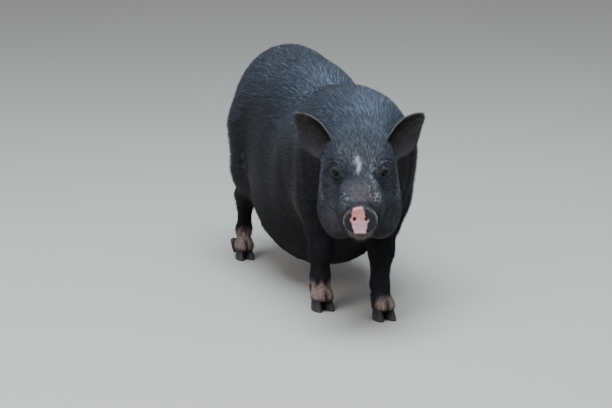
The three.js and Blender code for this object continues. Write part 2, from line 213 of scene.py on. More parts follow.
# Leaves a mass out where it is too far away to matter.
def within(mass, centre, reach):
    centre = np.array(centre, "f4")

    def far(p):
        close = nearTo(p, centre, reach)
        d = np.full(len(p), farAway, "f4")
        d[close] = mass(p[close])
        return d

    return far


# Legs and tail: forward, left, up and radius of each station, from the body to the tip.
legs = {
    "foreleg_right": [
        (172, -56, 290, 56), (165, -68, 200, 42), (196, -81, 112, 21),
        (190, -79, 60, 16.5), (202, -81, 30, 17),
    ],
    "foreleg_left": [
        (178, 56, 290, 56), (180, 56, 200, 43), (238, 24, 112, 22),
        (286, 2, 60, 15.5), (304, 1, 30, 17),
    ],
    "hindleg_right": [
        (-190, -58, 275, 74), (-168, -80, 200, 52), (-236, -80, 136, 23),
        (-254, -79, 112, 15), (-246, -85, 60, 13), (-233, -90, 30, 15.5),
    ],
    "hindleg_left": [
        (-190, 58, 275, 74), (-178, 78, 200, 52), (-278, 84, 136, 23),
        (-304, 86, 112, 16), (-298, 86, 60, 13), (-284, 86, 30, 15.5),
    ],
}
tailStations = [
    (-312, 0, 372, 15), (-345, 2, 362, 12), (-361, 5, 325, 8),
    (-364, 9, 270, 6), (-362, 12, 222, 5), (-358, 14, 192, 3),
]
# How widely the masses of each part melt into one another.
melting = {
    "trunk": 52, "neck": 40, "torso": 26, "thigh": 16, "leg": 16, "shank": 14, "tail": 8,
    "head": 26, "eyeHollow": 7, "lids": 5, "ear": 7, "disc": 2.2, "tailRoot": 10, "teat": 3,
}

trunkMass = melt(
    [
        oval((-204, 0, 314), (120, 108, 127)),  # rump
        *bothSides(lambda s: oval((-188, s * 50, 250), (86, 55, 108))),  # hams
        oval((-86, -2, 298), (172, 108, 135)),  # loin
        oval((-27, 3, 187), (204, 131, 154)),  # belly
        oval((84, -3, 258), (92, 112, 120)),  # girth
        oval((165, 0, 256), (112, 90, 138)),  # chest
        *bothSides(lambda s: oval((165, s * 46, 284), (74, 44, 90))),  # shoulders
        oval((142, -6, 334), (112, 46, 58)),  # withers
    ],
    melting["trunk"],
)
neckMass = melt(
    [
        limb((180, 0, 302), (296, -48, 290), 88, 58),
        limb((170, -6, 326), (286, -46, 312), 62, 41),  # crest
        limb((190, 6, 232), (318, -52, 230), 72, 47),  # throat
    ],
    melting["neck"],
)
headMass = melt(
    [
        oval((-42, 0, 0), (78, 56, 50), headFrame),  # skull
        limb((-20, 0, -14), (112, 0, -5), 48, 29, headFrame),  # muzzle
        limb((0, 0, -66), (104, 0, -42), 38, 23, headFrame),  # lower jaw
        *bothSides(lambda s: oval((84, s * 17, -15), (44, 22, 25), headFrame)),  # lips
        *bothSides(lambda s: oval((-36, s * 34, -8), (44, 24, 34), headFrame)),  # temples
        *bothSides(lambda s: oval((4, s * 37, -50), (60, 38, 46), headFrame)),  # cheeks
        *bothSides(lambda s: oval((42, s * 35, -68), (56, 36, 33), headFrame)),  # jowls
        *bothSides(lambda s: oval((-10, s * 34, 13), (24, 15, 12), headFrame)),  # brows
    ],
    melting["head"],
)
eyeHollows = bothSides(lambda s: oval((26, s * 52, 11), (10, 9, 8), headFrame))


def faceMass(p):
    d = headMass(p)
    for hollow in eyeHollows:
        d = blendMax(d, -hollow(p), melting["eyeHollow"])
    return d


thighMasses = [melt(chain(joints[:3]), melting["thigh"]) for joints in legs.values()]


def shank(joints):
    f, l, u, r = joints[-1]
    toe = oval((f + 4, l, u - 6), (22, r + 4, 17))
    return within(melt([*chain(joints[2:]), toe], melting["shank"]), (l, -f, 70), 130)


headMiddle = (headFrame @ place(34, 0, -16))[:3, 3]
torso = melt(
    [
        within(trunkMass, (0, 60, 260), 430),
        within(neckMass, (-20, -235, 280), 190),
        within(faceMass, headMiddle, 190),
        *thighMasses,
    ],
    melting["torso"],
)
body = melt([torso, *[shank(joints) for joints in legs.values()]], melting["leg"])
tailMass = within(melt(chain(tailStations), melting["tail"]), (8, 350, 280), 150)


def inHead(p):
    return inFrame(p, headFrame)


# How far down the slope of the face a point is.
def downFace(a, u):
    return 0.616 * a - 0.788 * u


# An ear is a cupped leaf, thick at its root and thin at its rim.
ear = {
    "length": 90,
    "root": 8,
    "halfWidth": 30,
    "lobe": 0.6,
    "cup": 17,
    "curl": 1.35,  # the edge over the forehead curls further forward
    "waist": 15,  # and draws in towards the root
    "thick": 3.6,
    "extra": 0,  # thicker while the first rough net is drawn
    "bluntness": 1.9,
    "point": 1.6,  # a smaller power gives a more pointed tip
    "along": -54,
    "side": 47,
    "up": 10,
    "out": 39,
    "back": 30,
    "open": 14,
    "bend": 14,
}


def earFrame(side):
    return (
        headFrame
        @ place(ear["along"], side * ear["side"], ear["up"])
        @ turned("X", -ear["back"])
        @ turned("Y", side * ear["out"])
        @ turned("Z", side * ear["open"])
    )


def earMiddle(side):
    return (earFrame(side) @ place(0, 0, ear["length"] / 2))[:3, 3]


# How far up the ear, how far out to its edge, and how far in front of its sheet each point is.
def inEar(p, side):
    front, left, high = inFrame(p, earFrame(side))
    t = (high + ear["root"]) / (ear["length"] + ear["root"])
    up = np.clip(t, 0, 1)
    half = ear["halfWidth"] * (0.72 + 0.5 * up)
    across = (side * left - ear["bend"] * up * up) / half
    across = np.where(across < 0, across * half / (half - ear["waist"] * (1 - up) ** 1.5), across)
    lobe = ear["lobe"] * np.sin(np.pi * np.minimum(1.25 * up, 1)) + 1e-4
    outward = (np.sqrt(1 + 4 * lobe * np.maximum(across, 0)) - 1) / (2 * lobe)
    across = np.where(across > 0, outward, across)
    narrow = np.sqrt(np.maximum(1 - up ** ear["bluntness"], 0.04))
    share = np.clip(across / narrow, -1.6, 1.6)
    cup = ear["cup"] * (1 - 0.75 * up) * np.where(share < 0, ear["curl"], 1)
    ahead = front - cup * share * share
    return t, across, share, ahead, half


def earMass(side):
    def far(p):
        near = np.full(len(p), farAway, "f4")
        close = nearTo(p, earMiddle(side), 100)
        t, across, share, ahead, half = inEar(p[close], side)
        power, point, whole = ear["bluntness"], ear["point"], ear["length"] + 8
        up = np.maximum(t, 1e-3)
        wide = np.abs(across) + 1e-3
        level = wide**point + up**power - 1
        slope = np.hypot(point * wide ** (point - 1) / half, power * up ** (power - 1) / whole)
        outline = level / np.maximum(slope, 0.012)
        thick = ear["thick"] * (1.5 - 0.8 * np.clip(t, 0, 1)) + ear["extra"]
        lean = np.sqrt(1 + (2 * ear["cup"] * (1 - 0.75 * np.clip(t, 0, 1)) * share / half) ** 2)
        sheet = np.abs(ahead) / lean - thick / 2
        root = -(t * whole) - 4
        near[close] = blendMax(blendMax(sheet, outline, 2.5), root, 3)
        return near

    return far


earMasses = bothSides(earMass)

# The snout disc and its nostrils.
disc = {
    "along": 140, "side": -1.5, "up": -5, "halfWidth": 29.5, "halfHeight": 25.5, "thick": 13, "tilt": 12,
    "rim": 1.5, "groove": 0.7, "dip": 0.9, "lip": 0.8, "hollow": 1.8,  # how far each stands out or goes in
}
discFrame = headFrame @ place(disc["along"], disc["side"], disc["up"]) @ turned("X", -disc["tilt"])
nostril = {"side": 10, "up": 4, "halfWidth": 3.4, "halfHeight": 4.4, "depth": 12}


def inDisc(p):
    return inFrame(p, discFrame)


def nostrilLevel(across, up, side):
    x = (across - side * nostril["side"]) / nostril["halfWidth"]
    z = (up - nostril["up"] + 0.15 * side * (across - side * nostril["side"])) / nostril["halfHeight"]
    return np.hypot(x, z)


def discMass(p):
    ahead, across, up = inDisc(p)
    ring = np.hypot(across / disc["halfWidth"], up / disc["halfHeight"])
    side = (ring - 1) * disc["halfWidth"] + 0.4
    rim = disc["rim"] * bell(ring, 0.9, 0.1)  # a raised edge round a slightly dished face
    groove = disc["groove"] * bell(across, 0, 1.5) * smooth(up, 6, 20)
    front = ahead - rim + disc["dip"] * smooth(up, -8, -24) * bell(across, 0, 7) + groove
    back = -ahead - disc["thick"]
    flat = blendMax(blendMax(side, front, 2.6), back, 3)
    for s in sides.values():
        level = nostrilLevel(across, up, s)
        wing = np.hypot(across - s * 15.5, (up + 6) * 0.8)
        # a soft lip round each nostril, and a hollow below and outside it
        flat -= disc["lip"] * bell(level, 1.6, 0.4) * smooth(ahead, -6, -1)
        flat += disc["hollow"] * bell(wing, 0, 4.2) * smooth(ahead, -6, -1)
    return flat


# The lids, which close round each eye.
lid = {
    "halfWidth": 9.6, "halfHeight": 8, "over": 1.4, "socket": 13, "tilt": -6,
    "hood": 1.5,  # how far the upper lid hangs over the eye
    "reach": 24,  # nothing further from the eye's middle belongs to its opening
    "sunk": 3.5,  # how deep below the eyeball's surface the opening is pressed
    # folds that follow the lids: depth, how far out and half width; ridges stand out between them
    "above": [(1.1, 11.2, 1.0), (0.7, 15.4, 1.2), (1.3, 21, 1.7)],
    "below": [(1.1, 10.8, 1.0), (0.9, 15, 1.3), (0.8, 20.5, 1.6)],
}


def lidFolds(ring, folds):
    return sum(depth * bell(ring, out, width) for depth, out, width in folds)


def inEye(p, side):
    out, across, up = inFrame(p, eyeFrame(side))
    c, s = math.cos(math.radians(lid["tilt"])), side * math.sin(math.radians(lid["tilt"]))
    return out, c * across + s * up, c * up - s * across


def withLids(p, d):
    for side in sides.values():
        close = nearTo(p, eyeFrame(side)[:3, 3], 40)
        out, across, up = inEye(p[close], side)
        away = np.sqrt(out**2 + across**2 + up**2)
        here = d[close]
        front = smooth(out, -4, 4)
        shell = away - eyeSize["radius"] - lid["over"]
        socket = 0.5 * (np.hypot(across, up) - lid["socket"] - 2.0 * (out - 10))
        here = blendMax(here, -np.maximum(socket, -out), melting["eyeHollow"])
        here = blendMin(here, shell, melting["lids"])
        ring = np.hypot(across / 1.25, up)
        above = smooth(up, 0, 4)
        here += front * above * lidFolds(ring, lid["above"])
        here += front * smooth(-up, 0, 4) * lidFolds(ring, lid["below"])
        ridges = 0.8 * bell(ring, 9.3, 1.1) + 0.6 * above * bell(ring, 13.3, 1.3)
        here -= front * (ridges + 0.7 * above * bell(ring, 18, 2))
        d[close] = here
    return d


# Folds and wrinkles: how far each presses the skin in.
faceDepth = {
    "mouth": 2.0, "lip": 0.5, "wrinkles": 1.0, "discRoot": 3.4, "furrow": 0.8, "crease": 0.45,
    "bag": 1.1, "lowerBag": 0.8, "cheekRim": 2.2, "cheekEdge": 1.4,
}


def faceFolds(p):
    a, l, u = inHead(p)
    fold = np.zeros(len(p), "f4")
    close = (a > -80) & (a < 150) & (np.abs(l) < 110) & (u > -120) & (u < 80)
    a, l, u = a[close], l[close], u[close]
    side = np.abs(l)
    here = np.zeros(len(a), "f4")
    # the mouth, from below the disc back to under the eye
    mouth = -27 - 8 * np.sin(np.clip((a - 44) / 86, 0, 1) * np.pi) - 9 * smooth(a, 74, 40)
    here += faceDepth["mouth"] * bell(u, mouth, 1.2) * smooth(a, 50, 84) * smooth(side, 2, 8)
    here -= faceDepth["lip"] * bell(u, mouth + 5, 4) * smooth(a, 60, 90)  # the upper lip hangs over it
    # wrinkles across the top of the muzzle, closest behind the disc
    bow = a + 0.016 * l * l
    bow += 1.6 * np.sin(l / 5.5 + 1) + 1.1 * np.sin(l / 2.9)
    wave = np.sin(2 * np.pi * (bow - 128) / (7.5 + 0.03 * (128 - bow)))
    broken = 0.55 + 0.45 * np.sin(l / 6.1 + bow / 4.0)
    wrinkles = faceDepth["wrinkles"] * wave * broken
    here += wrinkles * smooth(u, -6, 14) * smooth(bow, 58, 96) * smooth(bow, 131, 124)
    # the groove round the root of the disc
    here += faceDepth["discRoot"] * bell(a + 0.21 * u, 125, 3.4)
    # a furrow down the forehead, and creases from the brows
    here += faceDepth["furrow"] * bell(l, 0, 6) * smooth(a, 44, 20) * smooth(a, -34, -12) * smooth(u, 10, 30)
    crease = faceDepth["crease"] * bell(side - 15 - 0.18 * (a + 6), 0, 3)
    here += crease * smooth(a, 34, 16) * smooth(a, -30, -14) * smooth(u, 10, 26)
    # bags below the eyes, down on to the cheek
    bag = np.hypot((a - 2) * 0.8, (u + 6) * 1.0)
    here += faceDepth["bag"] * bell(bag, 25, 2.4) * smooth(u, -8, -16) * smooth(side, 30, 42)
    here += faceDepth["lowerBag"] * bell(bag, 34, 2.6) * smooth(u, -10, -20) * smooth(side, 34, 46)
    # the fold that rims the cheek
    down = downFace(a, u)
    rim = side - 64 - 0.12 * (down + 14)
    here += faceDepth["cheekRim"] * bell(rim, 4, 3.4) * smooth(down, -26, -6) * smooth(down, 84, 60)
    here -= faceDepth["cheekEdge"] * bell(rim, -3, 4) * smooth(down, -26, -6) * smooth(down, 84, 60)
    fold[close] = here
    return fold


coatDepth = {"body": 3.0, "face": 1.3, "foot": 0.7, "sole": 19}  # sole: where the horn takes over
teat = {"first": 140, "apart": 56, "pairs": 6, "side": 44, "length": 7, "radius": 3.6}


def placeTeats():
    spots = []
    heights = np.arange(0, 200, 0.5, "f4")
    for i in range(teat["pairs"]):
        for s in sides.values():
            f, l = teat["first"] - teat["apart"] * i, s * (teat["side"] + 4 * math.sin(2 * i))
            column = np.stack([np.full_like(heights, l), np.full_like(heights, -f), heights], 1)
            spots.append((f, l, float(heights[np.argmax(torso(column) < -coatDepth["body"])])))
    return spots


teats = placeTeats()
bodyDepth = {
    "shoulder": 1.5, "elbow": 1.3, "flank": 3.4, "joints": 0.5,
    "cleft": 4.0, "aboveClaws": 1.8, "back": 1.2, "belly": 0.8,
    "neck": [(238, 2.6), (214, 1.8), (188, 1.2)],  # how far forward each fold is, and its depth
}


def bodyFolds(p):
    f, l, u = -p[:, 1], p[:, 0], p[:, 2]
    side = np.abs(l)
    off = smooth(f, 252, 210)
    fold = np.zeros(len(p), "f4")
    # behind each shoulder, from the withers to the elbow
    line = 96 - 0.16 * (u - 220) - 14 * bell(u, 150, 60)
    fold += off * bodyDepth["shoulder"] * bell(f, line, 20) * smooth(side, 46, 92) * smooth(u, 92, 150)
    fold -= off * bodyDepth["elbow"] * bell(f, line + 30, 18) * smooth(side, 56, 98) * smooth(u, 120, 170)
    # skin folds of the neck, behind the cheek
    for middle, depth in bodyDepth["neck"]:
        bent = middle - 0.1 * (u - 250) + 0.1 * l
        fold += depth * bell(f, bent, 5.5) * smooth(u, 330, 270) * smooth(side, 18, 60)
    # the flank fold ahead of the thigh
    line = -108 - 0.35 * (u - 190)
    flank = bodyDepth["flank"] * bell(f, line, 12)
    fold += flank * smooth(side, 84, 116) * smooth(u, 270, 200) * smooth(u, 96, 140)
    # wrinkles at knees, hocks and pasterns
    low = smooth(u, 150, 128)
    fold += bodyDepth["joints"] * low * np.sin(u / 1.75) * (bell(u, 116, 12) + 0.8 * bell(u, 52, 9))
    # each foot is cleft between its toes and draws in above its claws
    for joints in legs.values():
        footForward, footLeft = joints[-1][:2]
        near = smooth(np.hypot(f - footForward, l - footLeft), 44, 34)
        cleft = bodyDepth["cleft"] * bell(l, footLeft, 2.6) * smooth(u, 50, 34)
        fold += near * (cleft + bodyDepth["aboveClaws"] * smooth(u, 31, 20))
    # a furrow down the back, deepest over the rump
    fold += bodyDepth["back"] * bell(l, -2, 16) * smooth(f, -40, -160) * smooth(u, 360, 420)
    # slack horizontal folds where the belly hangs
    slack = bodyDepth["belly"] * np.sin(u / 5.5 + 0.012 * f)
    fold += slack * smooth(f, 70, 20) * smooth(f, -150, -90) * bell(u, 104, 34)
    return fold


teatMass = melt(
    [
        limb((f, l, u + 4), (f, l * 1.06, u - teat["length"]), teat["radius"], teat["radius"] * 0.75)
        for f, l, u in teats
    ],
    2,
)


def skinField(p):
    face = smooth(inHead(p)[0], -70, -20)
    low = smooth(p[:, 2], 150, 70)
    depth = coatDepth["body"] * (1 - face) + coatDepth["face"] * face
    depth = depth * (1 - low) + coatDepth["foot"] * low
    d = body(p) + depth + bodyFolds(p) * (1 - face) + faceFolds(p)
    d = withLids(p, d)
    for mass in earMasses:
        d = blendMin(d, mass(p), melting["ear"])
    d = blendMin(d, discMass(p), melting["disc"])
    d = blendMin(d, tailMass(p) - ear["extra"] / 2, melting["tailRoot"])
    d = blendMin(d, teatMass(p), melting["teat"])
    return blendMax(d, coatDepth["sole"] - p[:, 2], 2)


# The skin starts as a rough net, is refined edge by edge and settles on to the masses.
skinSize = {
    "low": (-175, -535, -5),  # the box that the rough net is drawn in, and its cell
    "high": (170, 405, 465),
    "cell": 6.5,
    "rough": 10,  # how much thicker the ears are in the rough net
    "quick": 1.6,
    "rounds": 7,  # the most rounds of refining; it ends sooner once few edges are split
    "few": 200,
    "ease": 0.35,  # how far each round draws a point to its neighbours, and then the last rounds
    "lastEases": (0.5, 0.4, 0.3),
    "unwrapAngle": 60,
    "unwrapMargin": 0.002,
    # how long an edge may be
    "body": 6.4,
    "leg": 4.3,
    # and near each of these, with the distances from its middle between which edges grow
    "foot": (2.8, 38, 80),
    "head": (2.3, 112, 170),
    "ear": (2.3, 62, 90),
    "tail": (3.4, 110, 140),
    "disc": (1.5, 34, 50),
    "eye": (1.0, 15, 36, 70),
    "teat": (2.4, 11, 20),
}


def netOf(field, low, high, cell):
    counts = np.ceil((high - low) / cell).astype(int) + 1
    nodes = np.stack(np.meshgrid(*[np.arange(n) for n in counts], indexing="ij"), -1).reshape(-1, 3)
    parts = np.array_split((low + nodes * cell).astype("f4"), 8)
    value = np.concatenate([field(part) for part in parts]).reshape(counts)
    inside = value < 0
    corners = [(c & 1, (c >> 1) & 1, c >> 2) for c in range(8)]
    cut = [slice(0, -1), slice(1, None)]
    count = sum(inside[tuple(cut[b] for b in c)].astype("u1") for c in corners)
    cells = np.argwhere((count > 0) & (count < 8))
    total, crossed = np.zeros((len(cells), 3)), np.zeros(len(cells))
    for c in corners:
        for axis in range(3):
            if c[axis]:
                continue
            other = np.array(c)
            other[axis] = 1
            va, vb = value[tuple((cells + c).T)], value[tuple((cells + other).T)]
            cross = (va < 0) != (vb < 0)
            spot = np.tile(np.array(c, float), (len(cells), 1))
            spot[:, axis] += np.where(cross, va / np.where(cross, va - vb, 1), 0)
            total += spot * cross[:, None]
            crossed += cross
    index = np.full(counts - 1, -1)
    index[tuple(cells.T)] = np.arange(len(cells))
    quads = []
    for axis in range(3):
        first, second = [slice(1, -1)] * 3, [slice(1, -1)] * 3
        first[axis], second[axis] = slice(0, -1), slice(1, None)
        change = np.argwhere(inside[tuple(first)] != inside[tuple(second)])
        start = change + np.array([k != axis for k in range(3)], int)
        p, q = np.roll(np.eye(3, dtype=int), -axis - 1, axis=0)[:2]
        ring = np.stack([index[tuple((start - d).T)] for d in (p + q, q, 0 * p, p)], 1)
        turn = ~inside[tuple(start.T)]
        ring[turn] = ring[turn][:, ::-1]
        quads.append(ring)
    quads = np.concatenate(quads)
    points = low + (cells + total / crossed[:, None]) * cell
    return points, np.concatenate([quads[:, [0, 1, 2]], quads[:, [0, 2, 3]]])


# Moves each point on to the surface, by no more than the reach.
def settle(p, reach):
    here, step = skinField(p), 0.3
    slope = np.stack([(skinField(p + axis * step) - here) / step for axis in np.eye(3, dtype="f4")], 1)
    size = np.maximum(np.sqrt(dot(slope, slope)), 0.4)
    move = np.clip(here / size, -reach, reach)
    return (p - slope / size[:, None] * move[:, None]).astype("f4")


def edgesOf(faces):
    pairs = np.concatenate([faces[:, [0, 1]], faces[:, [1, 2]], faces[:, [2, 0]]])
    edges, inverse = np.unique(np.sort(pairs, axis=1), axis=0, return_inverse=True)
    return edges, inverse.reshape(3, -1).T


def relaxed(points, faces, share):
    edges, _ = edgesOf(faces)
    total, count = np.zeros((len(points), 3)), np.zeros(len(points))
    for i, j in ((0, 1), (1, 0)):
        for k in range(3):
            total[:, k] += np.bincount(edges[:, i], points[edges[:, j], k], len(points))
        count += np.bincount(edges[:, i], minlength=len(points))
    return (points + share * (total / count[:, None] - points)).astype("f4")


def wantedSize(p):
    coarse = skinSize["body"]
    size = np.where(p[:, 2] < 150, skinSize["leg"], np.full(len(p), coarse, "f4"))

    def awayFrom(centre):
        return np.linalg.norm(p - np.asarray(centre, "f4"), axis=1)

    def finer(centre, part, whole=True):
        least, start, end = skinSize[part]
        more = coarse if whole else coarse - least
        return np.minimum(size, least + more * smooth(awayFrom(centre), start, end))

    for joints in legs.values():
        size = finer((joints[-1][1], -joints[-1][0], 25), "foot", False)
    size = finer(headMiddle, "head", False)
    size = finer(discFrame[:3, 3], "disc")
    least, start, middle, end = skinSize["eye"]
    for side in sides.values():
        away = awayFrom(eyeFrame(side)[:3, 3])
        wanted = least + 1.2 * smooth(away, start, middle) + coarse * smooth(away, middle, end)
        size = np.minimum(size, wanted)
        size = finer(earMiddle(side), "ear")
    size = finer((8, 362, 280), "tail")
    for f, l, u in teats:
        size = finer((l, -f, u - 4), "teat")
    return size * 1


# How a face is divided, by which of its edges are split; its corners are 0, 1, 2 and its middles 3, 4, 5.
divided = {
    (0, 0, 0): [(0, 1, 2)],
    (1, 0, 0): [(0, 3, 2), (3, 1, 2)],
    (1, 1, 0): [(3, 1, 4), (0, 3, 2), (3, 4, 2)],
    (1, 0, 1): [(0, 3, 5), (3, 1, 2), (3, 2, 5)],
    (1, 1, 1): [(0, 3, 5), (3, 1, 4), (5, 4, 2), (3, 4, 5)],
}


# Each edge that is too long gets a point at its middle, and the faces beside it are divided.
def refine(points, faces):
    edges, edgesAt = edgesOf(faces)
    middle = (points[edges[:, 0]] + points[edges[:, 1]]) / 2
    long = np.linalg.norm(points[edges[:, 0]] - points[edges[:, 1]], axis=1)
    split = long > 1.35 * wantedSize(middle)
    number = np.where(split, len(points) + np.cumsum(split) - 1, -1)
    # turn each face so that its longest split edge comes first
    first = np.where(split[edgesAt], long[edgesAt], 0).argmax(1)
    order = (first[:, None] + np.arange(3)) % 3
    corners = np.concatenate([faces, number[edgesAt]], 1)
    corners = np.take_along_axis(corners, np.concatenate([order, order + 3], 1), 1)
    on = corners[:, 3:] >= 0
    made = [
        corners[(on == pattern).all(1)][:, triangle]
        for pattern, triangles in divided.items()
        for triangle in triangles
    ]
    return np.concatenate([points, middle[split]]).astype("f4"), np.concatenate(made), int(split.sum())


def largestPiece(points, faces):
    edges, _ = edgesOf(faces)
    label = np.arange(len(points))
    while True:
        low = label.copy()
        least = np.minimum(low[edges[:, 0]], low[edges[:, 1]])
        np.minimum.at(low, edges[:, 0], least)
        np.minimum.at(low, edges[:, 1], least)
        low = low[low]
        if (low == label).all():
            break
        label = low
    names, sizes = np.unique(label, return_counts=True)
    keep = label == names[sizes.argmax()]
    number = np.cumsum(keep) - 1
    return points[keep], number[faces[keep[faces[:, 0]]]]


def drawSkin():
    low, high = np.array(skinSize["low"]), np.array(skinSize["high"])
    ear["extra"] = skinSize["rough"]
    points, faces = largestPiece(*netOf(skinField, low, high, skinSize["cell"]))
    points = settle(points.astype("f4"), 3)
    for turn in range(skinSize["rounds"]):
        points, faces, added = refine(points, faces)
        ear["extra"] = skinSize["rough"] * max(0, 1 - turn / 3)
        points = settle(relaxed(points, faces, skinSize["ease"]), 1.6)
        if added < skinSize["few"] and turn > 3:
            break
    for share in skinSize["lastEases"]:
        points = settle(relaxed(points, faces, share), 1.2)
    points = settle(points, 1.0)
    tell(f"skin of {len(faces)} faces")
    return points, faces


def makeMesh(name, points, faces):
    mesh = bpy.data.meshes.new(name)
    mesh.vertices.add(len(points))
    mesh.vertices.foreach_set("co", np.asarray(points, "f4").ravel())
    faces = np.asarray(faces)
    count = faces.shape[1]
    mesh.loops.add(faces.size)
    mesh.loops.foreach_set("vertex_index", faces.ravel().astype("i4"))
    mesh.polygons.add(len(faces))
    mesh.polygons.foreach_set("loop_start", np.arange(0, faces.size, count, dtype="i4"))
    mesh.polygons.foreach_set("use_smooth", np.ones(len(faces), bool))
    mesh.update(calc_edges=True)
    piece = bpy.data.objects.new(name, mesh)
    bpy.context.scene.collection.objects.link(piece)
    return piece


# Presses the openings of the eyes and nostrils in.
def openings(p):
    p = p.astype(float)
    for side in sides.values():
        out, across, up = inEye(p, side)
        away = np.sqrt(out**2 + across**2 + up**2)
        width, height = lid["halfWidth"], lid["halfHeight"]
        hood = np.where(up > 0, lid["hood"], 0)
        almond = np.abs(up + 0.4) + hood - height * (1 - (across / width) ** 2)
        almond = almond * (away < lid["reach"]) * (out > 0)
        depth = np.where(almond < 0, smooth(almond, 0, -1.3), 0)
        centre = eyeFrame(side)[:3, 3]
        wanted = eyeSize["radius"] - lid["sunk"]
        p += ((wanted - away) * depth / np.maximum(away, 1))[:, None] * (p - centre)
        ahead, discAcross, discUp = inDisc(p)
        level = nostrilLevel(discAcross, discUp, side)
        near = (ahead > -6) & (level < 1)
        inward = discFrame[:3, :3] @ np.array([0, 1, 0])
        p += (near * nostril["depth"] * smooth(level, 1, 0.55))[:, None] * inward
    return p


skinPoints, skinFaces = drawSkin()
skinPoints = openings(skinPoints)
skin = makeMesh("skin", toRow(skinPoints), skinFaces)
tell("skin made")


# What each item of a mesh holds, as rows of numbers.
def read(items, key, width, kind="f4"):
    values = np.zeros(len(items) * width, kind)
    items.foreach_get(key, values)
    return values.reshape(-1, width)


# An unwrap of the skin's own shape.
def unwrap(piece):
    bpy.context.view_layer.objects.active = piece
    piece.select_set(True)
    bpy.ops.object.mode_set(mode="EDIT")
    bpy.ops.mesh.select_all(action="SELECT")
    angle = math.radians(skinSize["unwrapAngle"])
    bpy.ops.uv.smart_project(angle_limit=angle, island_margin=skinSize["unwrapMargin"])
    bpy.ops.object.mode_set(mode="OBJECT")
    piece.select_set(False)
    flat = read(piece.data.uv_layers[0].uv, "vector", 2)
    spot = piece.data.attributes.new("unwrapPlace", "FLOAT_VECTOR", "CORNER")
    spot.data.foreach_set("vector", np.column_stack([flat, np.zeros(len(flat))]).ravel())


unwrap(skin)
tell("unwrapped")


# Markings, the masks of painted sheen, shade and highlight, and the lie of the coat are attributes that skin
# and bristles share.
mark = {
    # the pink patch on the disc: heights, and how far it reaches to the right and to the left
    "pinkUp": (-24, -9, -1, 3, 9, 17, 26),
    "pinkRight": (10.5, 13.5, 17.0, 17.5, 15.5, 15.0, 11.5),
    "pinkLeft": (10.0, 11.0, 14.0, 14.5, 8.5, 6.5, 4.5),
    "paleFore": 51,  # how high the pale skin reaches above the feet
    "paleHind": 62,
    # painted sheen: the share of the back's painted blue-grey that the face is given
    "brow": 0.27,  # how much of the back's sheen the brow has
}


# Where shade is painted: the hollow that runs down from each eye.
def shadeOn(l, a, down):
    return bell(np.abs(l) - 36 - 0.1 * down, 0, 6) * bell(down, 26, 26) * smooth(a, 0, 30)


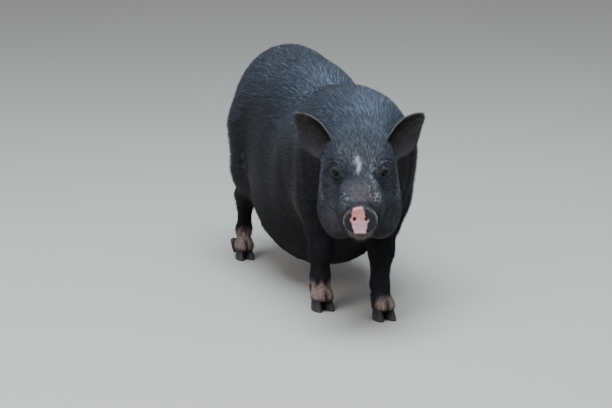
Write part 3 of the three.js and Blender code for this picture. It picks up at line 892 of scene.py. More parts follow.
def marksOf(p, n):
    a, l, u = inHead(p)
    side = np.abs(l)
    down = downFace(a, u)
    toHead = np.linalg.norm(p - headMiddle.astype("f4"), axis=1)
    face = smooth(a, -74, -30) * smooth(toHead, 178, 150)
    marks = {"face": face}
    inner, rim, onEar, deep = (np.zeros(len(p)) for _ in range(4))
    for s in sides.values():
        t, across, _, ahead, _ = inEar(p, s)
        sheet = nearTo(p, earMiddle(s), 80) & (t > 0.02) & (np.abs(ahead) < 9)
        forward = n @ (earFrame(s)[:3, :3] @ np.array([0, -1, 0]))
        level = np.abs(across) ** ear["point"] + np.clip(t, 0, 2) ** ear["bluntness"]
        onEar = np.maximum(onEar, sheet * smooth(t, 0.06, 0.2))
        inner = np.maximum(inner, sheet * smooth(t, 0.0, 0.1) * smooth(forward, -0.1, 0.3))
        # painted highlight: a lighter rim along each ear's edge, most on the edge over the forehead
        lead = 0.05 + 0.95 * smooth(across, 0.1, -0.3)
        rim = np.maximum(rim, sheet * lead * smooth(t, 0.2, 0.4) * smooth(level, 0.88, 0.99))
        # painted shade in the channel behind the curled front edge of each ear
        hollow = smooth(forward, -0.1, 0.3) * bell(across, -0.5, 0.3) * smooth(t, 0.95, 0.7)
        deep = np.maximum(deep, sheet * hollow)
    marks["ear"], marks["earInner"], marks["earRim"] = onEar, inner, rim
    # disc
    ahead, across, up = inDisc(p)
    ring = np.hypot(across / disc["halfWidth"], up / disc["halfHeight"])
    bare = smooth(ahead, -8, -4) * smooth(ring, 1.07, 1.01)
    reach = np.where(
        across > 0,
        np.interp(up, mark["pinkUp"], mark["pinkLeft"]),
        np.interp(up, mark["pinkUp"], mark["pinkRight"]),
    )
    wander = 0.7 * np.sin(up / 2.3) + 0.4 * np.sin(up / 0.9 + 2)
    pink = bare * smooth(np.abs(across) - reach - wander, 0.9, -0.9) * smooth(up, -23.5, -21.5)
    marks["bare"], marks["pink"] = bare, pink
    marks["pinkTop"] = pink * smooth(up + 1.2 * np.sin(across / 2.4), -1, 8)
    # the star on the forehead
    off = l + 3.4 + 1.4 * np.sin(down / 4)
    star = bell(off, 0, 3 + 0.04 * np.clip(10 - down, 0, 60)) * smooth(down, -28, -17) * smooth(down, 14, -6)
    star = np.maximum(star, 0.5 * bell(off, 0, 9) * bell(down, -15, 7)) * smooth(u, 4, 16)
    marks["star"] = star * face
    # grey frosting, and a painted sheen along each cheek's rim
    toLeft, toRight = (np.linalg.norm(p - eyeFrame(s)[:3, 3], axis=1) for s in (1, -1))
    frost = 0.7 * bell(toLeft, 18, 5) * smooth(l, 46, 34)
    frost += 0.5 * bell(toRight, 18, 4) * smooth(-l, 44, 30) + 0.35 * bell(toLeft, 15, 3)
    streak = l - np.interp(down, [-20, 0, 18, 50], [25, 20, 17, 27])
    frost += 0.95 * bell(streak, 0, 8) * smooth(down, -22, -8) * smooth(down, 62, 50)
    frost += 0.5 * smooth(side, 50, 24) * bell(down, -30, 24)
    for s, muzzle, rim in ((-1, 0.85, 0.85), (1, 1.0, 0.9)):
        frost += muzzle * bell(l - s * 28, 0, 7) * bell(down, 48, 8)
        # painted sheen: a pale line along the rim of each cheek, as strong as rim says
        cheekSheen = s * l - 65 - 5 * bell(down, 20, 26)
        frost += rim * bell(cheekSheen, 0, 3.2) * smooth(down, -34, -14) * smooth(down, 66, 36)
    frost += 0.06 + 0.14 * bell(l, 0, 26) * bell(down, 34, 26) - 0.1 * shadeOn(l, a, down)
    patchy = 0.62 + 0.38 * np.sin(l / 2.1 + 1.3 * np.sin(down / 3.3)) * np.sin(down / 2.7 + l / 6)
    marks["frost"] = np.clip(frost * patchy, 0, 1) * face * (1 - bare) * (1 - onEar)
    # brown over the wrinkled muzzle and the chin
    brown = bell(l, 1, 21) * bell(down, 41, 17) * smooth(u, -4, 10)
    chin = smooth(side, 30, 8) * smooth(a, 92, 118) * smooth(u, -18, -26)
    marks["brown"] = np.clip(brown + 0.3 * chin, 0, 1) * face * (1 - bare)
    marks["chin"] = chin * face * (1 - bare)
    # pale feet
    pale = np.zeros(len(p))
    for name, joints in legs.items():
        foot = np.array([joints[-1][1], -joints[-1][0]])
        near = np.linalg.norm(p[:, :2] - foot, axis=1) < 75
        top = mark["paleFore"] if name.startswith("fore") else mark["paleHind"]
        ragged = top + 5 * np.sin(np.arctan2(p[:, 0] - foot[0], p[:, 1] - foot[1]) * 4 + len(name))
        here = smooth(p[:, 2], ragged + 7, ragged - 9)
        if name == "foreleg_left":  # only its front
            ahead = (foot[1] - p[:, 1]) * 0.8 + (p[:, 0] - foot[0]) * 0.6
            here = smooth(p[:, 2], 49, 36) * smooth(ahead, -7, 5)
        between = bell(p[:, 0], foot[0], 3.2) * smooth(p[:, 2], 48, 32)
        rim = 0.75 * smooth(p[:, 2], 27, 20)
        pale = np.maximum(pale, near * here * (1 - between) * (1 - rim))
    marks["pale"] = pale
    marks["lower"] = smooth(p[:, 2], 190, 120)
    # painted sheen: upward-facing parts of the back and flanks get a lighter blue-grey that stands in for
    # light on the coat
    top = smooth(n[:, 2], -0.05, 0.8) * smooth(p[:, 2], 180, 320)
    top = top * (1 - smooth(p[:, 1], 300, 330) * smooth(np.abs(p[:, 0] - 4), 42, 26))
    # painted sheen on the face: most on the upward-facing brow, a little over the rest
    brow = smooth(down, -6, -66) * mark["brow"] * smooth(n[:, 2], -0.2, 0.4) + 0.16 * smooth(down, 90, 50)
    marks["topside"] = top * (1 - face) + brow * face
    # painted shade, gathered in the mark named belly: under downward-facing skin, under the jowls, low on
    # the body and legs, in the ears' hollows and beside the muzzle
    shade = shadeOn(l, a, down) * face
    paintedUnderShade = 0.7 * smooth(n[:, 2], -0.05, -0.6) * smooth(p[:, 2], 300, 180)
    paintedJowlShade = 0.6 * smooth(n[:, 2], -0.15, -0.65) * face
    low = 0.75 * smooth(p[:, 2], 175, 110) * (1 - face)
    marks["belly"] = np.maximum.reduce([paintedUnderShade, deep, 0.55 * shade, paintedJowlShade, low])
    eyelid = np.zeros(len(p))
    for s in sides.values():
        out, across, up = inEye(p, s)
        level = np.hypot(across / (lid["halfWidth"] + 2.4), (up + 0.4) / (lid["halfHeight"] + 2))
        eyelid = np.maximum(eyelid, smooth(level, 1.1, 0.95) * (out > 0) * (out < lid["reach"]))
    marks["lid"] = eyelid
    marks["teat"] = smooth(teatMass(p), 3, 1)
    tail = smooth(p[:, 1], 322, 336) * smooth(np.abs(p[:, 0] - 8), 34, 24)
    marks["tail"] = tail * smooth(p[:, 2], 120, 160)
    marks["topside"] *= 1 - marks["tail"]
    return marks


def lieOf(p, n, marks):
    flow = np.zeros((len(p), 3))
    # back and down over the body, straight down on the legs
    down = smooth(p[:, 2], 230, 120)
    side = np.clip(np.abs(n[:, 0]), 0, 1)
    flow[:, 1] = 1 - 0.8 * down
    flow[:, 2] = -0.3 * side - 1.2 * down
    flow[:, 2] -= 1.1 * smooth(p[:, 1], 230, 360)  # the rump turns down
    # away from the snout over the face, up the forehead
    away = p - (headFrame @ place(118, 0, -22))[:3, 3]
    away /= np.linalg.norm(away, axis=1)[:, None]
    back = headFrame[:3, :3] @ np.array([0, 1.0, 0])
    face = marks["face"][:, None]
    flow = flow * (1 - face) + (away + 0.5 * back) * face
    # up the ears
    for s in sides.values():
        on = (marks["ear"] * nearTo(p, earMiddle(s), 80))[:, None]
        along = earFrame(s)[:3, :3] @ np.array([s * 0.3, 0, 1.0])
        flow = flow * (1 - on) + along * on
    tail = marks["tail"][:, None]
    flow = flow * (1 - tail) + np.array([0.05, 0.1, -1]) * tail
    flow -= n * dot(flow, n)[:, None]
    return flow / np.maximum(np.linalg.norm(flow, axis=1), 1e-3)[:, None]


skinNormals = read(skin.data.vertices, "normal", 3)
marks = marksOf(skinPoints, skinNormals)
lie = lieOf(skinPoints, skinNormals, marks)


def store(piece, name, values):
    values = np.asarray(values, "f4")
    kind, key = ("FLOAT", "value") if values.ndim == 1 else ("FLOAT_VECTOR", "vector")
    piece.data.attributes.new(name, kind, "POINT").data.foreach_set(key, values.ravel())


for name, values in marks.items():
    store(skin, name, values)
tell("marks")


# One method adds any node: its type, its settings, and what goes into its sockets.
class Nodes:
    def __init__(self, tree):
        self.tree = tree

    def node(self, kind, settings=None, inputs=None, out=0):
        made = self.tree.nodes.new(kind)
        for key, value in (settings or {}).items():
            setattr(made, key, value)
        for key, value in (inputs or {}).items():
            if isinstance(value, Wire):
                self.tree.links.new(value.socket, made.inputs[key])
            else:
                made.inputs[key].default_value = value
        return Wire(self, made.outputs[out], made) if made.outputs else None


# Wraps a socket, so that sums on it add Math nodes.
class Wire:
    def __init__(self, nodes, socket, made=None):
        self.nodes, self.socket, self.made = nodes, socket, made

    def out(self, name):
        return Wire(self.nodes, self.made.outputs[name], self.made)


def maths(operation, turned=False):
    def make(self, other):
        inputs = {0: other, 1: self} if turned else {0: self, 1: other}
        return self.nodes.node("ShaderNodeMath", {"operation": operation}, inputs)

    return make


Wire.__add__ = Wire.__radd__ = maths("ADD")
Wire.__mul__ = Wire.__rmul__ = maths("MULTIPLY")
Wire.__sub__, Wire.__rsub__ = maths("SUBTRACT"), maths("SUBTRACT", True)


lock = {
    "gather": 140.0,  # noise that leans neighbours the same way, so that they gather in locks
    "gatherLean": 1.6,
    "strayLean": 0.45,
    "tone": 460.0,  # noise that makes neighbours light or dark together
    "toneShare": 0.6,
    "patch": 0.003,  # the size of a bristle's patch on the bake map
    "quick": 0.35,
}


# One tree makes every piece of the coat.
def bristleTree():
    tree = bpy.data.node_groups.new("bristles", "GeometryNodeTree")
    sockets = {
        "Skin": "Geometry", "Where": "String", "Per square metre": "Float", "Length": "Float",
        "Slenderness": "Float", "Lift": "Float", "Bend": "Float", "Segments": "Int",
        "Scatter": "Float", "Seed": "Int", "Finish": "Material",
    }
    for name, kind in sockets.items():
        tree.interface.new_socket(name=name, in_out="INPUT", socket_type="NodeSocket" + kind)
    tree.interface.new_socket(name="Coat", in_out="OUTPUT", socket_type="NodeSocketGeometry")
    g = Nodes(tree)
    given = g.node("NodeGroupInput")

    def vector(operation, first, second=None, scale=None):
        inputs = {0: first}
        if second is not None:
            inputs[1] = second
        if scale is not None:
            inputs["Scale"] = scale
        return g.node("ShaderNodeVectorMath", {"operation": operation}, inputs)

    def named(name, kind="FLOAT"):
        return g.node("GeometryNodeInputNamedAttribute", {"data_type": kind}, {"Name": name})

    def chance(low, high, seed):
        made = g.node("FunctionNodeRandomValue", {"data_type": "FLOAT"}, {2: low, 3: high}, 1)
        g.tree.links.new((given.out("Seed") + seed).socket, made.made.inputs["Seed"])
        return made

    where = named(given.out("Where"))
    roots = g.node(
        "GeometryNodeDistributePointsOnFaces",
        {"distribute_method": "RANDOM"},
        {
            "Mesh": given.out("Skin"),
            "Density": where * given.out("Per square metre"),
            "Seed": given.out("Seed"),
        },
    )
    normal = roots.out("Normal")
    position = g.node("GeometryNodeInputPosition")
    noisy = {"Vector": position, "Scale": lock["gather"], "Detail": 1.0}
    gather = g.node("ShaderNodeTexNoise", None, noisy, 1)
    gather = vector("SUBTRACT", gather, (0.5, 0.5, 0.5))
    stray = g.node("FunctionNodeRandomValue", {"data_type": "FLOAT_VECTOR"}, {0: (-1, -1, -1), 1: (1, 1, 1)})
    g.tree.links.new((given.out("Seed") + 7).socket, stray.made.inputs["Seed"])
    gather = vector("SCALE", gather, scale=lock["gatherLean"])
    lean = vector("ADD", gather, vector("SCALE", stray, scale=lock["strayLean"]))
    lean = vector("SCALE", lean, scale=given.out("Scatter"))
    along = vector("NORMALIZE", vector("ADD", named("lie", "FLOAT_VECTOR"), lean))
    outward = g.node("ShaderNodeVectorMath", {"operation": "DOT_PRODUCT"}, {0: along, 1: normal}, "Value")
    flat = vector("SUBTRACT", along, vector("SCALE", normal, scale=outward))
    raised = vector("SCALE", normal, scale=given.out("Lift") * chance(0.5, 1.5, 1))
    along = vector("ADD", vector("NORMALIZE", flat), raised)
    rotation = g.node(
        "FunctionNodeAxesToRotation",
        {"primary_axis": "Z", "secondary_axis": "Y"},
        {"Primary Axis": along, "Secondary Axis": normal},
    )
    length = given.out("Length") * chance(0.65, 1.25, 2) * named("longness")
    # one bristle, a unit long: a thin three-sided spike that bends back to the skin
    spike = g.node(
        "GeometryNodeMeshCone",
        {"fill_type": "NGON"},
        {
            "Vertices": 3,
            "Side Segments": given.out("Segments"),
            "Fill Segments": 1,
            "Radius Top": 0.0,
            "Radius Bottom": given.out("Slenderness"),
            "Depth": 1.0,
        },
        "Mesh",
    )
    spot = g.node("GeometryNodeInputPosition")
    parts = g.node("ShaderNodeSeparateXYZ", None, {0: spot})
    height = parts.out("Z")
    spike = g.node(
        "GeometryNodeStoreNamedAttribute",
        {"data_type": "FLOAT_VECTOR", "domain": "POINT"},
        {"Geometry": spike, "Name": "onBristle", "Value": spot},
    )
    sag = g.node("ShaderNodeCombineXYZ", None, {1: height * height * (0 - given.out("Bend"))})
    spike = g.node("GeometryNodeSetPosition", None, {"Geometry": spike, "Offset": sag})
    patch = g.node("ShaderNodeTexNoise", None, {"Vector": position, "Scale": lock["tone"], "Detail": 1.5})
    patch = g.node("ShaderNodeMapRange", None, {"Value": patch, "From Min": 0.36, "From Max": 0.64})
    toned = g.node(
        "GeometryNodeStoreNamedAttribute",
        {"data_type": "FLOAT", "domain": "POINT"},
        {"Geometry": roots, "Name": "tone", "Value": patch * lock["toneShare"] + chance(0.0, 0.4, 3)},
    )
    placed = g.node(
        "GeometryNodeInstanceOnPoints",
        None,
        {"Points": toned, "Instance": spike, "Rotation": rotation, "Scale": length},
    )
    real = g.node("GeometryNodeRealizeInstances", None, {"Geometry": placed})
    finished = g.node("GeometryNodeSetMaterial", None, {"Geometry": real, "Material": given.out("Finish")})
    g.node("NodeGroupOutput", None, {0: finished})
    return tree


bristles = bristleTree()


def coat(
    name, where, perSquareMetre, length, width, lift, scatter, seed, finish, bend=0, flow=None, slot="hide",
):
    store(skin, "where", where)
    store(skin, "lie", lie if flow is None else flow)
    helper = bpy.data.objects.new(name, skin.data)
    bpy.context.scene.collection.objects.link(helper)
    modifier = helper.modifiers.new("bristles", "NODES")
    modifier.node_group = bristles
    values = {
        "Where": "where",
        "Per square metre": perSquareMetre * 1,
        "Length": length / 1000,
        "Slenderness": width / 2 / length,
        "Lift": lift,
        "Bend": bend,
        "Segments": 3 if bend else 1,
        "Scatter": scatter,
        "Seed": seed,
        "Finish": finish,
    }
    for item in bristles.interface.items_tree:
        if item.in_out == "INPUT" and item.name in values:
            modifier[item.identifier] = values[item.name]
    made = helper.evaluated_get(bpy.context.evaluated_depsgraph_get())
    mesh = bpy.data.meshes.new_from_object(made)
    mesh.name = name
    helper.modifiers.clear()
    helper.data = mesh
    mesh.polygons.foreach_set("use_smooth", np.ones(len(mesh.polygons), bool))
    bakeMap(mesh)
    for passing in ("where", "lie"):
        skin.data.attributes.remove(skin.data.attributes[passing])
    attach(helper, "root")
    tell(f"{name} of {len(mesh.polygons)} faces")


# Each bristle has a small patch of its own on the bake map, where its root lies on the skin's unwrap.
def bakeMap(mesh):
    root, local = (read(mesh.attributes[name].data, "vector", 3) for name in ("unwrapPlace", "onBristle"))
    wide = np.abs(local[:, :2]).max() + 1e-9
    patch = lock["patch"] * np.stack([local[:, 0] / wide / 2, local[:, 2] - 0.5], 1)
    corner = read(mesh.loops, "vertex_index", 1, "i4")[:, 0]
    layer = mesh.uv_layers.new(name="OFBake")
    layer.uv.foreach_set("vector", np.clip(root[:, :2] + patch, 0, 1)[corner].astype("f4").ravel())
    for unused in ("unwrapPlace", "onBristle", "lie", "longness", "where"):
        if unused in mesh.attributes:
            mesh.attributes.remove(mesh.attributes[unused])


# Finishes.
def finishOf(name):
    material = bpy.data.materials.new(name)
    material.use_nodes = True
    material.node_tree.nodes.clear()
    return material, Nodes(material.node_tree)


def fac(nodes, name):
    return nodes.node("ShaderNodeAttribute", {"attribute_name": name}, None, "Fac")


def mix(nodes, share, first, second):
    inputs = {"Factor": share, 6: first, 7: second}
    return nodes.node("ShaderNodeMix", {"data_type": "RGBA", "clamp_factor": True}, inputs, 2)


def tint(red, green, blue):
    return (red, green, blue, 1)


def noise(nodes, scale, detail, where=None):
    inputs = {"Scale": scale, "Detail": detail}
    if where is not None:
        inputs["Vector"] = where
    return nodes.node("ShaderNodeTexNoise", None, inputs, "Fac")


def step(nodes, value, low, high):
    inputs = {"Value": value, "From Min": low, "From Max": high}
    return nodes.node("ShaderNodeMapRange", {"interpolation_type": "SMOOTHSTEP"}, inputs)


def surface(nodes, base, roughness, height=None, distance=None, strength=0.8, **constant):
    inputs = {"Base Color": base, "Roughness": roughness}
    inputs.update({key.replace("_", " "): value for key, value in constant.items()})
    if height is not None:
        bump = {"Height": height, "Distance": distance, "Strength": strength}
        inputs["Normal"] = nodes.node("ShaderNodeBump", None, bump)
    shader = nodes.node("ShaderNodeBsdfPrincipled", None, inputs)
    nodes.node("ShaderNodeOutputMaterial", None, {"Surface": shader})


def stretched(nodes, scale, turn=(0, 0, 0)):
    place = nodes.node("ShaderNodeTexCoord", None, None, "Object")
    return nodes.node("ShaderNodeMapping", None, {"Vector": place, "Rotation": turn, "Scale": scale})


hide = {
    "black": tint(0.005, 0.005, 0.006),
    # painted sheen: the next two blue-greys stand in for the sheen of light on the upward-facing coat
    "blue": tint(0.072, 0.09, 0.122),
    "sheenBlueLight": tint(0.31, 0.37, 0.46),
    "charcoal": tint(0.054, 0.051, 0.06),
    "frost": tint(0.44, 0.46, 0.5),
    "star": tint(0.68, 0.7, 0.74),
    "brown": tint(0.085, 0.06, 0.052),
    "pale": tint(0.39, 0.28, 0.245),
    "paleDark": tint(0.16, 0.115, 0.1),
    "pink": tint(0.94, 0.55, 0.62),
    "pinkTop": tint(0.9, 0.4, 0.35),
    "pinkFleck": tint(0.5, 0.2, 0.17),
    "discDark": tint(0.01, 0.009, 0.013),
    "earInner": tint(0.028, 0.022, 0.022),
    "lidSkin": tint(0.05, 0.042, 0.043),
    # painted highlight along the ears' rims
    "earRim": tint(0.21, 0.18, 0.175),
}


# The markings, with painted sheen, painted shade and a painted highlight on the ears' rims, laid over a
# ground colour. The skin and the bristles both wear them.
def marked(nodes, ground, tone):
    # painted sheen: blue-grey mixed in where the top sheen mask lies
    blue = mix(nodes, step(nodes, tone, 0.5, 0.92), hide["blue"], hide["sheenBlueLight"])
    colour = mix(nodes, fac(nodes, "topside"), ground, blue)
    colour = mix(nodes, fac(nodes, "earInner") * 0.8, colour, hide["earInner"])
    # painted shade: the belly mark darkens the colour to black
    colour = mix(nodes, fac(nodes, "belly") * 0.9, colour, hide["black"])
    browned = fac(nodes, "brown") * (step(nodes, tone, 0.25, 0.7) * 0.8 + 0.15)
    colour = mix(nodes, browned, colour, hide["brown"])
    colour = mix(nodes, fac(nodes, "frost") * step(nodes, tone, 0.42, 0.7) * 0.85, colour, hide["frost"])
    colour = mix(nodes, fac(nodes, "star") * step(nodes, tone, 0.25, 0.6) * 0.9, colour, hide["star"])
    # painted highlight along the ears' rims
    return mix(nodes, fac(nodes, "earRim") * (tone * 0.5 + 0.4), colour, hide["earRim"])


def hideFinish():
    material, n = finishOf("hide")
    body = noise(n, 1.0, 3.0, stretched(n, (330, 45, 330)))
    low = noise(n, 1.0, 3.0, stretched(n, (330, 330, 50)))
    turn = (0, 0, math.radians(-headAt["turn"]))
    face = noise(n, 1.0, 3.0, stretched(n, (420, 90, 90), turn))
    onFace, onLegs = fac(n, "face"), fac(n, "lower")
    streak = body * (1 - onFace) * (1 - onLegs) + face * onFace + low * onLegs * (1 - onFace)
    patches = noise(n, 14.0, 3.0)
    ground = mix(n, step(n, patches, 0.35, 0.65), hide["black"], hide["charcoal"])
    colour = marked(n, ground, streak)
    mottle = noise(n, 160.0, 4.0)
    pale = mix(n, step(n, low * 0.7 + mottle * 0.3, 0.36, 0.62), hide["paleDark"], hide["pale"])
    colour = mix(n, fac(n, "pale") * (0.7 + 0.3 * streak), colour, pale)
    lidRim, bare = fac(n, "lid"), fac(n, "bare")
    colour = mix(n, lidRim * 0.7, colour, hide["lidSkin"])
    colour = mix(n, bare, colour, hide["discDark"])
    pinkShade = mix(n, fac(n, "pinkTop"), hide["pink"], hide["pinkTop"])
    pinkShade = mix(n, step(n, mottle, 0.6, 0.75) * 0.5, pinkShade, hide["pinkFleck"])
    colour = mix(n, fac(n, "pink"), colour, pinkShade)
    roughness = 0.62 - 0.2 * bare - 0.2 * lidRim + 0.1 * (patches - 0.5)
    cells = n.node("ShaderNodeTexVoronoi", {"feature": "DISTANCE_TO_EDGE"}, {"Scale": 420.0}, "Distance")
    pores = step(n, cells, 0.0, 0.12)
    height = streak * (1 - bare) * 0.9 + pores * (0.12 + 0.12 * bare) + mottle * 0.15
    surface(
        n, colour, roughness, height, 0.0009,
        Coat_Weight=bare * 0.4, Coat_Roughness=0.2, Specular_IOR_Level=0.2,
    )
    return material


def bristleFinish(name, ground=None, light=None):
    material, n = finishOf(name)
    tone = fac(n, "tone")
    if ground:
        colour = mix(n, tone, ground, light)
    else:
        colour = mix(n, step(n, tone, 0.2, 0.95), hide["black"], hide["charcoal"])
        colour = marked(n, colour, tone)
        # pale specks among the bristles, only where the top sheen is painted
        colour = mix(n, step(n, tone, 0.88, 1.0) * 0.3 * fac(n, "topside"), colour, hide["frost"])
        colour = mix(n, fac(n, "pale") * 0.85, colour, mix(n, tone, hide["paleDark"], hide["pale"]))
    surface(n, colour, 0.42 + 0.15 * tone, Specular_IOR_Level=0.32)
    return material


skinFinish = hideFinish()
coatFinish = bristleFinish("bristles")
paleFinish = bristleFinish("pale_bristles", tint(0.3, 0.28, 0.27), tint(0.7, 0.69, 0.68))
brownFinish = bristleFinish("brown_bristles", tint(0.12, 0.09, 0.07), tint(0.45, 0.38, 0.3))
greyFinish = bristleFinish("grey_bristles", tint(0.06, 0.055, 0.055), tint(0.24, 0.225, 0.22))
darkFinish = bristleFinish("dark_bristles", tint(0.008, 0.008, 0.01), tint(0.03, 0.03, 0.035))
skin.data.materials.append(skinFinish)
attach(skin, "root")
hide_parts("head", "neck", "trunk", "tail", "ear_right", "ear_left", "snout_disc", *legs)


# Rings of points joined into a closed solid.
def loft(rings):
    rings = np.asarray(rings, float)
    count, around = rings.shape[:2]
    points = np.concatenate([rings.reshape(-1, 3), rings[0].mean(0)[None], rings[-1].mean(0)[None]])
    i = np.arange(around)
    j = (i + 1) % around
    faces = [np.stack([np.full(around, count * around), j, i], 1)]
    for r in range(count - 1):
        a, b, c, d = r * around + i, r * around + j, (r + 1) * around + j, (r + 1) * around + i
        faces += [np.stack([a, b, c], 1), np.stack([a, c, d], 1)]
    last = (count - 1) * around
    faces.append(np.stack([np.full(around, count * around + 1), last + i, last + j], 1))
    faces = np.concatenate(faces)
    a, b, c = points[faces[:, 0]], points[faces[:, 1]], points[faces[:, 2]]
    if dot(a, np.cross(b, c)).sum() < 0:
        faces = faces[:, ::-1]
    return points, faces


def put(points, frame):
    return np.asarray(points) @ frame[:3, :3].T + frame[:3, 3]


# The eyeballs; angles are in degrees from the line of sight.
eyeball = {"around": 40, "rings": 30, "cornea": 1.1, "corneaAngle": 40, "iris": 40, "pupil": 15}


def eyeFinish():
    material, n = finishOf("eye")
    angle = fac(n, "gaze")
    fibres = noise(n, 1.0, 2.0, n.node("ShaderNodeAttribute", {"attribute_name": "fibre"}, None, "Vector"))
    iris = mix(n, fibres, tint(0.003, 0.0018, 0.0012), tint(0.014, 0.007, 0.004))
    beyond = step(n, angle, eyeball["iris"] - 3, eyeball["iris"] + 3)
    colour = mix(n, beyond, iris, tint(0.006, 0.004, 0.004))
    colour = mix(n, 1 - step(n, fac(n, "pupil"), 0.85, 1.05), colour, tint(0.001, 0.001, 0.002))
    surface(n, colour, 0.25, Coat_Weight=0.35, Coat_Roughness=0.02, Coat_IOR=1.35, Specular_IOR_Level=0.1)
    return material


def makeEye(side, finish):
    theta = np.linspace(0, math.pi, eyeball["rings"] + 2)[1:-1]
    phi = np.linspace(0, 2 * math.pi, eyeball["around"], endpoint=False)
    t, f = np.meshgrid(theta, phi, indexing="ij")
    r = eyeSize["radius"] + eyeball["cornea"] * smooth(np.degrees(t), eyeball["corneaAngle"], 8)
    out, across, up = r * np.cos(t), r * np.sin(t) * np.cos(f), r * np.sin(t) * np.sin(f)
    local, faces = loft(np.stack([across, -out, up], -1))
    piece = makeMesh("eyeball_" + side, toRow(put(local, eyeFrame(sides[side]))), faces)
    flat = np.hypot(local[:, 0], local[:, 2])
    store(piece, "gaze", np.degrees(np.arctan2(flat, -local[:, 1])))
    slot = np.hypot(local[:, 0] / 1.35, local[:, 2])  # the pupil is wider than high
    store(piece, "pupil", slot / eyeball["pupil"] * 5.6 + (local[:, 1] > 0) * 9)
    turn = np.arctan2(local[:, 2], local[:, 0])
    store(piece, "fibre", np.stack([np.cos(turn) * 9, np.sin(turn) * 9, flat * 0.3], 1))
    piece.data.materials.append(finish)
    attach(piece, "root")
    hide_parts("eye_" + side)


eyeLook = eyeFinish()
for side in sides:
    makeEye(side, eyeLook)
tell("eyes")

# Claws and dewclaws.
claw = {
    "length": 44, "width": 21, "height": 30, "ahead": 8, "spread": 10.8, "splay": 5,
    "narrow": 0.34, "slope": 9, "point": 0.28, "rings": 14, "around": 36,
}
dewclaw = {"radius": 6.5, "behind": 19, "taper": 0.8, "turn": 30, "lean": -22, "rings": 10, "around": 18}
feet = {
    "fore": {"size": 1, "up": 42, "side": 11, "length": 26},
    "hind": {"size": 0.9, "up": 37, "side": 16, "length": 31},
}


def hornFinish():
    material, n = finishOf("horn")
    up = n.node("ShaderNodeSeparateXYZ", None, {0: n.node("ShaderNodeTexCoord", None, None, "Object")}, "Z")
    fibres = noise(n, 1.0, 3.0, stretched(n, (900, 900, 60)))
    rings = noise(n, 1.0, 2.0, stretched(n, (40, 40, 520)))
    dust = noise(n, 90.0, 4.0)
    colour = mix(n, fibres, tint(0.008, 0.007, 0.007), tint(0.034, 0.027, 0.024))
    worn = step(n, up, 0.016, 0.001) * step(n, dust, 0.35, 0.7)
    colour = mix(n, worn * 0.5, colour, tint(0.14, 0.11, 0.09))
    surface(n, colour, 0.5 + 0.25 * dust, fibres * 0.4 + rings * 0.6, 0.0007)
    return material


def frameAt(f, l, u, turn=0.0, pitch=0.0):
    return place(f, l, u) @ turned("Z", turn) @ turned("X", -pitch)


def makeClaw(foot, kind, side):
    size, rings = kind["size"], []
    angles = np.linspace(0, 2 * math.pi, claw["around"], endpoint=False)
    for t in [0, 0.02, 0.05, *np.linspace(0.1, 1, claw["rings"] - 3)]:
        narrow = size * (1 - claw["narrow"] * t**1.5) * (1 - 0.05 * smooth(t, 0.05, 0))
        point = 1 - claw["point"] * np.maximum(np.cos(angles), 0) ** 2
        along = np.cos(angles) * claw["length"] * narrow / 2 - claw["slope"] * t
        across = np.sin(angles) * claw["width"] * narrow * point / 2
        # the inner wall, beside the other claw, is flatter
        across = np.where(across * side < 0, across * 0.92, across)
        wave = 1 + 0.008 * math.sin(t * 40)
        high = np.full_like(along, t * claw["height"] * size)
        rings.append(np.stack([across * wave, -along * wave, high], 1))
    spot = frameAt(foot[0] + claw["ahead"], foot[1], 0, side * claw["splay"])
    points, faces = loft(rings)
    return put(points, spot @ place(0, side * claw["spread"] * size, 0)), faces


def makeDewclaw(foot, kind, side):
    rings = []
    angles = np.linspace(0, 2 * math.pi, dewclaw["around"], endpoint=False)
    for t in np.linspace(0, 1, dewclaw["rings"]):
        r = dewclaw["radius"] * math.sqrt(1 - dewclaw["taper"] * t * t) * (1 + 0.02 * math.sin(t * 30))
        high = np.full_like(angles, -t * kind["length"])
        rings.append(np.stack([np.cos(angles) * r, -np.sin(angles) * r, high], 1))
    spot = frameAt(
        foot[0] - dewclaw["behind"] * kind["size"], foot[1] + side * kind["side"], kind["up"],
        side * dewclaw["turn"], dewclaw["lean"],
    )
    points, faces = loft(rings)
    return put(points, spot), faces


hornLook = hornFinish()
for name, joints in legs.items():
    kind = feet[name[:4]]
    for side, s in sides.items():
        for toe, make in (("claw", makeClaw), ("dewclaw", makeDewclaw)):
            points, faces = make(joints[-1], kind, s)
            node = f"{toe}_{name.replace('leg', '')}_{side}"
            piece = makeMesh("horn_" + node, toRow(points), faces)
            piece.data.materials.append(hornLook)
            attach(piece, "root")
            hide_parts(node)
tell("claws")

# The coat, region by region.
p, m = skinPoints, marks
x, y, z = p.T
growth = (1 - m["bare"]) * (1 - 0.3 * m["pale"]) * (1 - 0.8 * m["lid"]) * (1 - 0.7 * m["earInner"])
# bristles grow thinner where the belly mark paints shade
growth *= (1 - 0.4 * m["belly"]) * smooth(z, 18, 24) * (1 - m["teat"])
onHead = (m["face"] > 0.5) & (m["ear"] < 0.5)
onEar = m["ear"] >= 0.5
onTail = m["tail"] > 0.5
onBody = ~onHead & ~onEar & ~onTail
crest = bell(x - np.interp(y, [-330, -150, 0, 300], [-52, -6, -2, 0]), 0, 34) * m["topside"]
longness = 1 + 0.4 * crest - 0.35 * smooth(z, 150, 60) - 0.3 * smooth(z, 62, 38)
longness *= 1 - 0.5 * bell(y, 326, 20) * smooth(np.abs(x - 2), 52, 30)
longness *= 1 - 0.45 * smooth(m["face"], 0, 0.5)
headLong = 0.6 + 0.8 * smooth(inHead(p)[0], 110, -30) + 0.5 * smooth(m["face"], 1, 0.5)
longness = np.where(onHead, headLong, longness)
store(skin, "longness", longness)

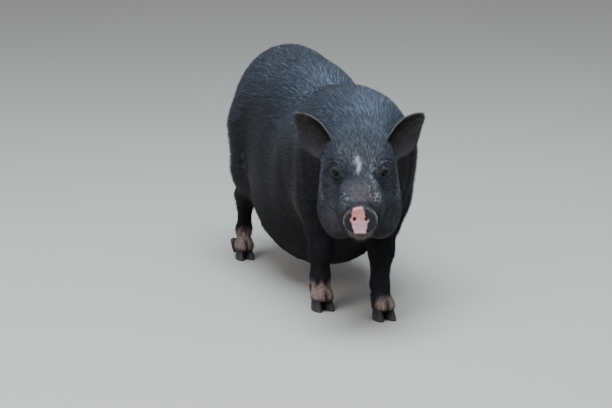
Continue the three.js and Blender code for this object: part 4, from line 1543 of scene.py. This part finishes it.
coatSettings = {
    # where, bristles per square metre, length, width, lift, scatter
    "coat_rump": (onBody & (y > 205), 374000, 19, 0.75, 0.15, 0.3),
    "coat_loin": (onBody & (y > 60) & (y <= 205) & (z > 150), 450000, 20, 0.75, 0.15, 0.3),
    "coat_barrel": (onBody & (y > -75) & (y <= 60) & (z > 150), 450000, 20, 0.75, 0.16, 0.3),
    "coat_shoulder": (onBody & (y > -190) & (y <= -75) & (z > 150), 480000, 19, 0.75, 0.17, 0.32),
    "coat_neck": (onBody & (y <= -190) & (z > 150), 520000, 17, 0.7, 0.18, 0.34),
    "coat_belly": (onBody & (y > -190) & (y <= 205) & (z <= 150), 250000, 14, 0.7, 0.16, 0.35),
    "coat_legs": (onBody & ((y <= -190) | (y > 205)) & (z <= 150), 500000, 10, 0.6, 0.16, 0.3),
    "coat_head": (onHead, 620000, 5.5, 0.42, 0.2, 0.35),
}
for seed, (name, (where, many, *shape)) in enumerate(coatSettings.items()):
    coat(name, where * growth, many, *shape, 10 * seed + 3, coatFinish)
coat("coat_ears", onEar * growth, 900000, 6, 0.42, 0.2, 0.4, 91, coatFinish, slot="ear")
coat("coat_tail", onTail * 1.0, 600000, 9, 0.55, 0.14, 0.25, 97, coatFinish)

# pale bristles round the disc, the tuft on the chin, grey bristles on the ears' rims where their highlight
# is painted, the tail's tassel
ahead, across, up = inDisc(p)
outward = discFrame[:3, :3] @ np.stack([across, 0 * across, up])
outward = (outward / np.maximum(np.linalg.norm(outward, axis=0), 1)).T
forward = discFrame[:3, :3] @ np.array([0, -1.0, 0])
ring = np.hypot(across / disc["halfWidth"], up / disc["halfHeight"])
around = (ring > 0.94) & (ring < 1.3) & (ahead > -9) & (ahead < 1)
coat("hair_disc", around * 1.0, 900000, 4.5, 0.45, 0.5, 0.5, 101, paleFinish, flow=forward + 0.3 * outward)
chinFlow = forward * 0.5 + np.array([0, 0, -1.0]) + 0 * p  # 0 * p gives one for each point
coat("hair_chin", m["chin"], 200000, 19, 0.55, 0.6, 0.6, 103, brownFinish, 0.12, flow=chinFlow)
coat("hair_ear_rims", m["earRim"] * onEar, 500000, 3.5, 0.35, 0.35, 0.5, 107, greyFinish, slot="ear")
# the inner-ear hairs stay off the painted rim highlight and the painted shade of the belly mark
inside = m["earInner"] * onEar * (1 - m["earRim"]) * (1 - m["belly"])
coat("hair_ears", inside, 90000, 9, 0.4, 0.3, 0.6, 108, greyFinish, slot="ear")
tassel = onTail * smooth(z, 236, 205)
coat("hair_tail", tassel, 500000, 42, 0.8, 0.25, 0.35, 109, darkFinish, 0.15)
tell("coat")

# Camera, lights and floor.
view = {
    "forward": 190.1, "left": -107.4, "up": 200,  # the spot in the middle of the picture
    "azimuth": -20, "elevation": 12, "distance": 3.8, "lens": 120.7, "sensor": 36, "clip": 100,
}


def lookFrom(azimuth, elevation):
    a, e = math.radians(azimuth), math.radians(elevation)
    return Vector((math.sin(a) * math.cos(e), -math.cos(a) * math.cos(e), math.sin(e)))


lights = {
    # azimuth, elevation, distance, width, power and colour
    "overhead": (-30, 74, 3.2, 3.0, 190, (0.8, 0.9, 1.0)),
    "front_fill": (-60, 30, 3.6, 2.0, 26, (1.0, 0.97, 0.93)),
}


# Puts a camera or a light so that it looks at a spot from the given side.
def look(thing, spot, azimuth, elevation, distance):
    bpy.context.scene.collection.objects.link(thing)
    thing.location = spot + lookFrom(azimuth, elevation) * distance
    thing.rotation_mode = "QUATERNION"
    thing.rotation_quaternion = (-lookFrom(azimuth, elevation)).to_track_quat("-Z", "Y")


camera = bpy.data.objects.new("camera", bpy.data.cameras.new("camera"))
camera.data.sensor_width, camera.data.lens = view["sensor"], view["lens"]
camera.data.clip_end = view["clip"]
aim = Vector(toRow([view["left"], -view["forward"], view["up"]]))
look(camera, aim, view["azimuth"], view["elevation"], view["distance"])
bpy.context.scene.camera = camera

for name, (azimuth, elevation, distance, size, power, colour) in lights.items():
    light = bpy.data.lights.new(name, "AREA")
    light.shape, light.size, light.energy, light.color = "DISK", size, power, colour
    look(bpy.data.objects.new(name, light), Vector((0, 0, 0.25)), azimuth, elevation, distance)
world = bpy.data.worlds.new("studio")
bpy.context.scene.world = world
world.use_nodes = True
sky = world.node_tree.nodes["Background"].inputs
sky["Color"].default_value, sky["Strength"].default_value = tint(0.8, 0.84, 0.9), 0.45

floorReach = 40  # metres from the middle of the floor to its edges
corners = [(x * floorReach, y * floorReach, 0) for x, y in ((-1, -1), (1, -1), (1, 1), (-1, 1))]
ground = makeMesh("floor", corners, [(0, 1, 2, 3)])
floorFinish, n = finishOf("floor")
surface(n, tint(0.56, 0.53, 0.49), 0.85)
ground.data.materials.append(floorFinish)

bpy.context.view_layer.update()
tell("done")
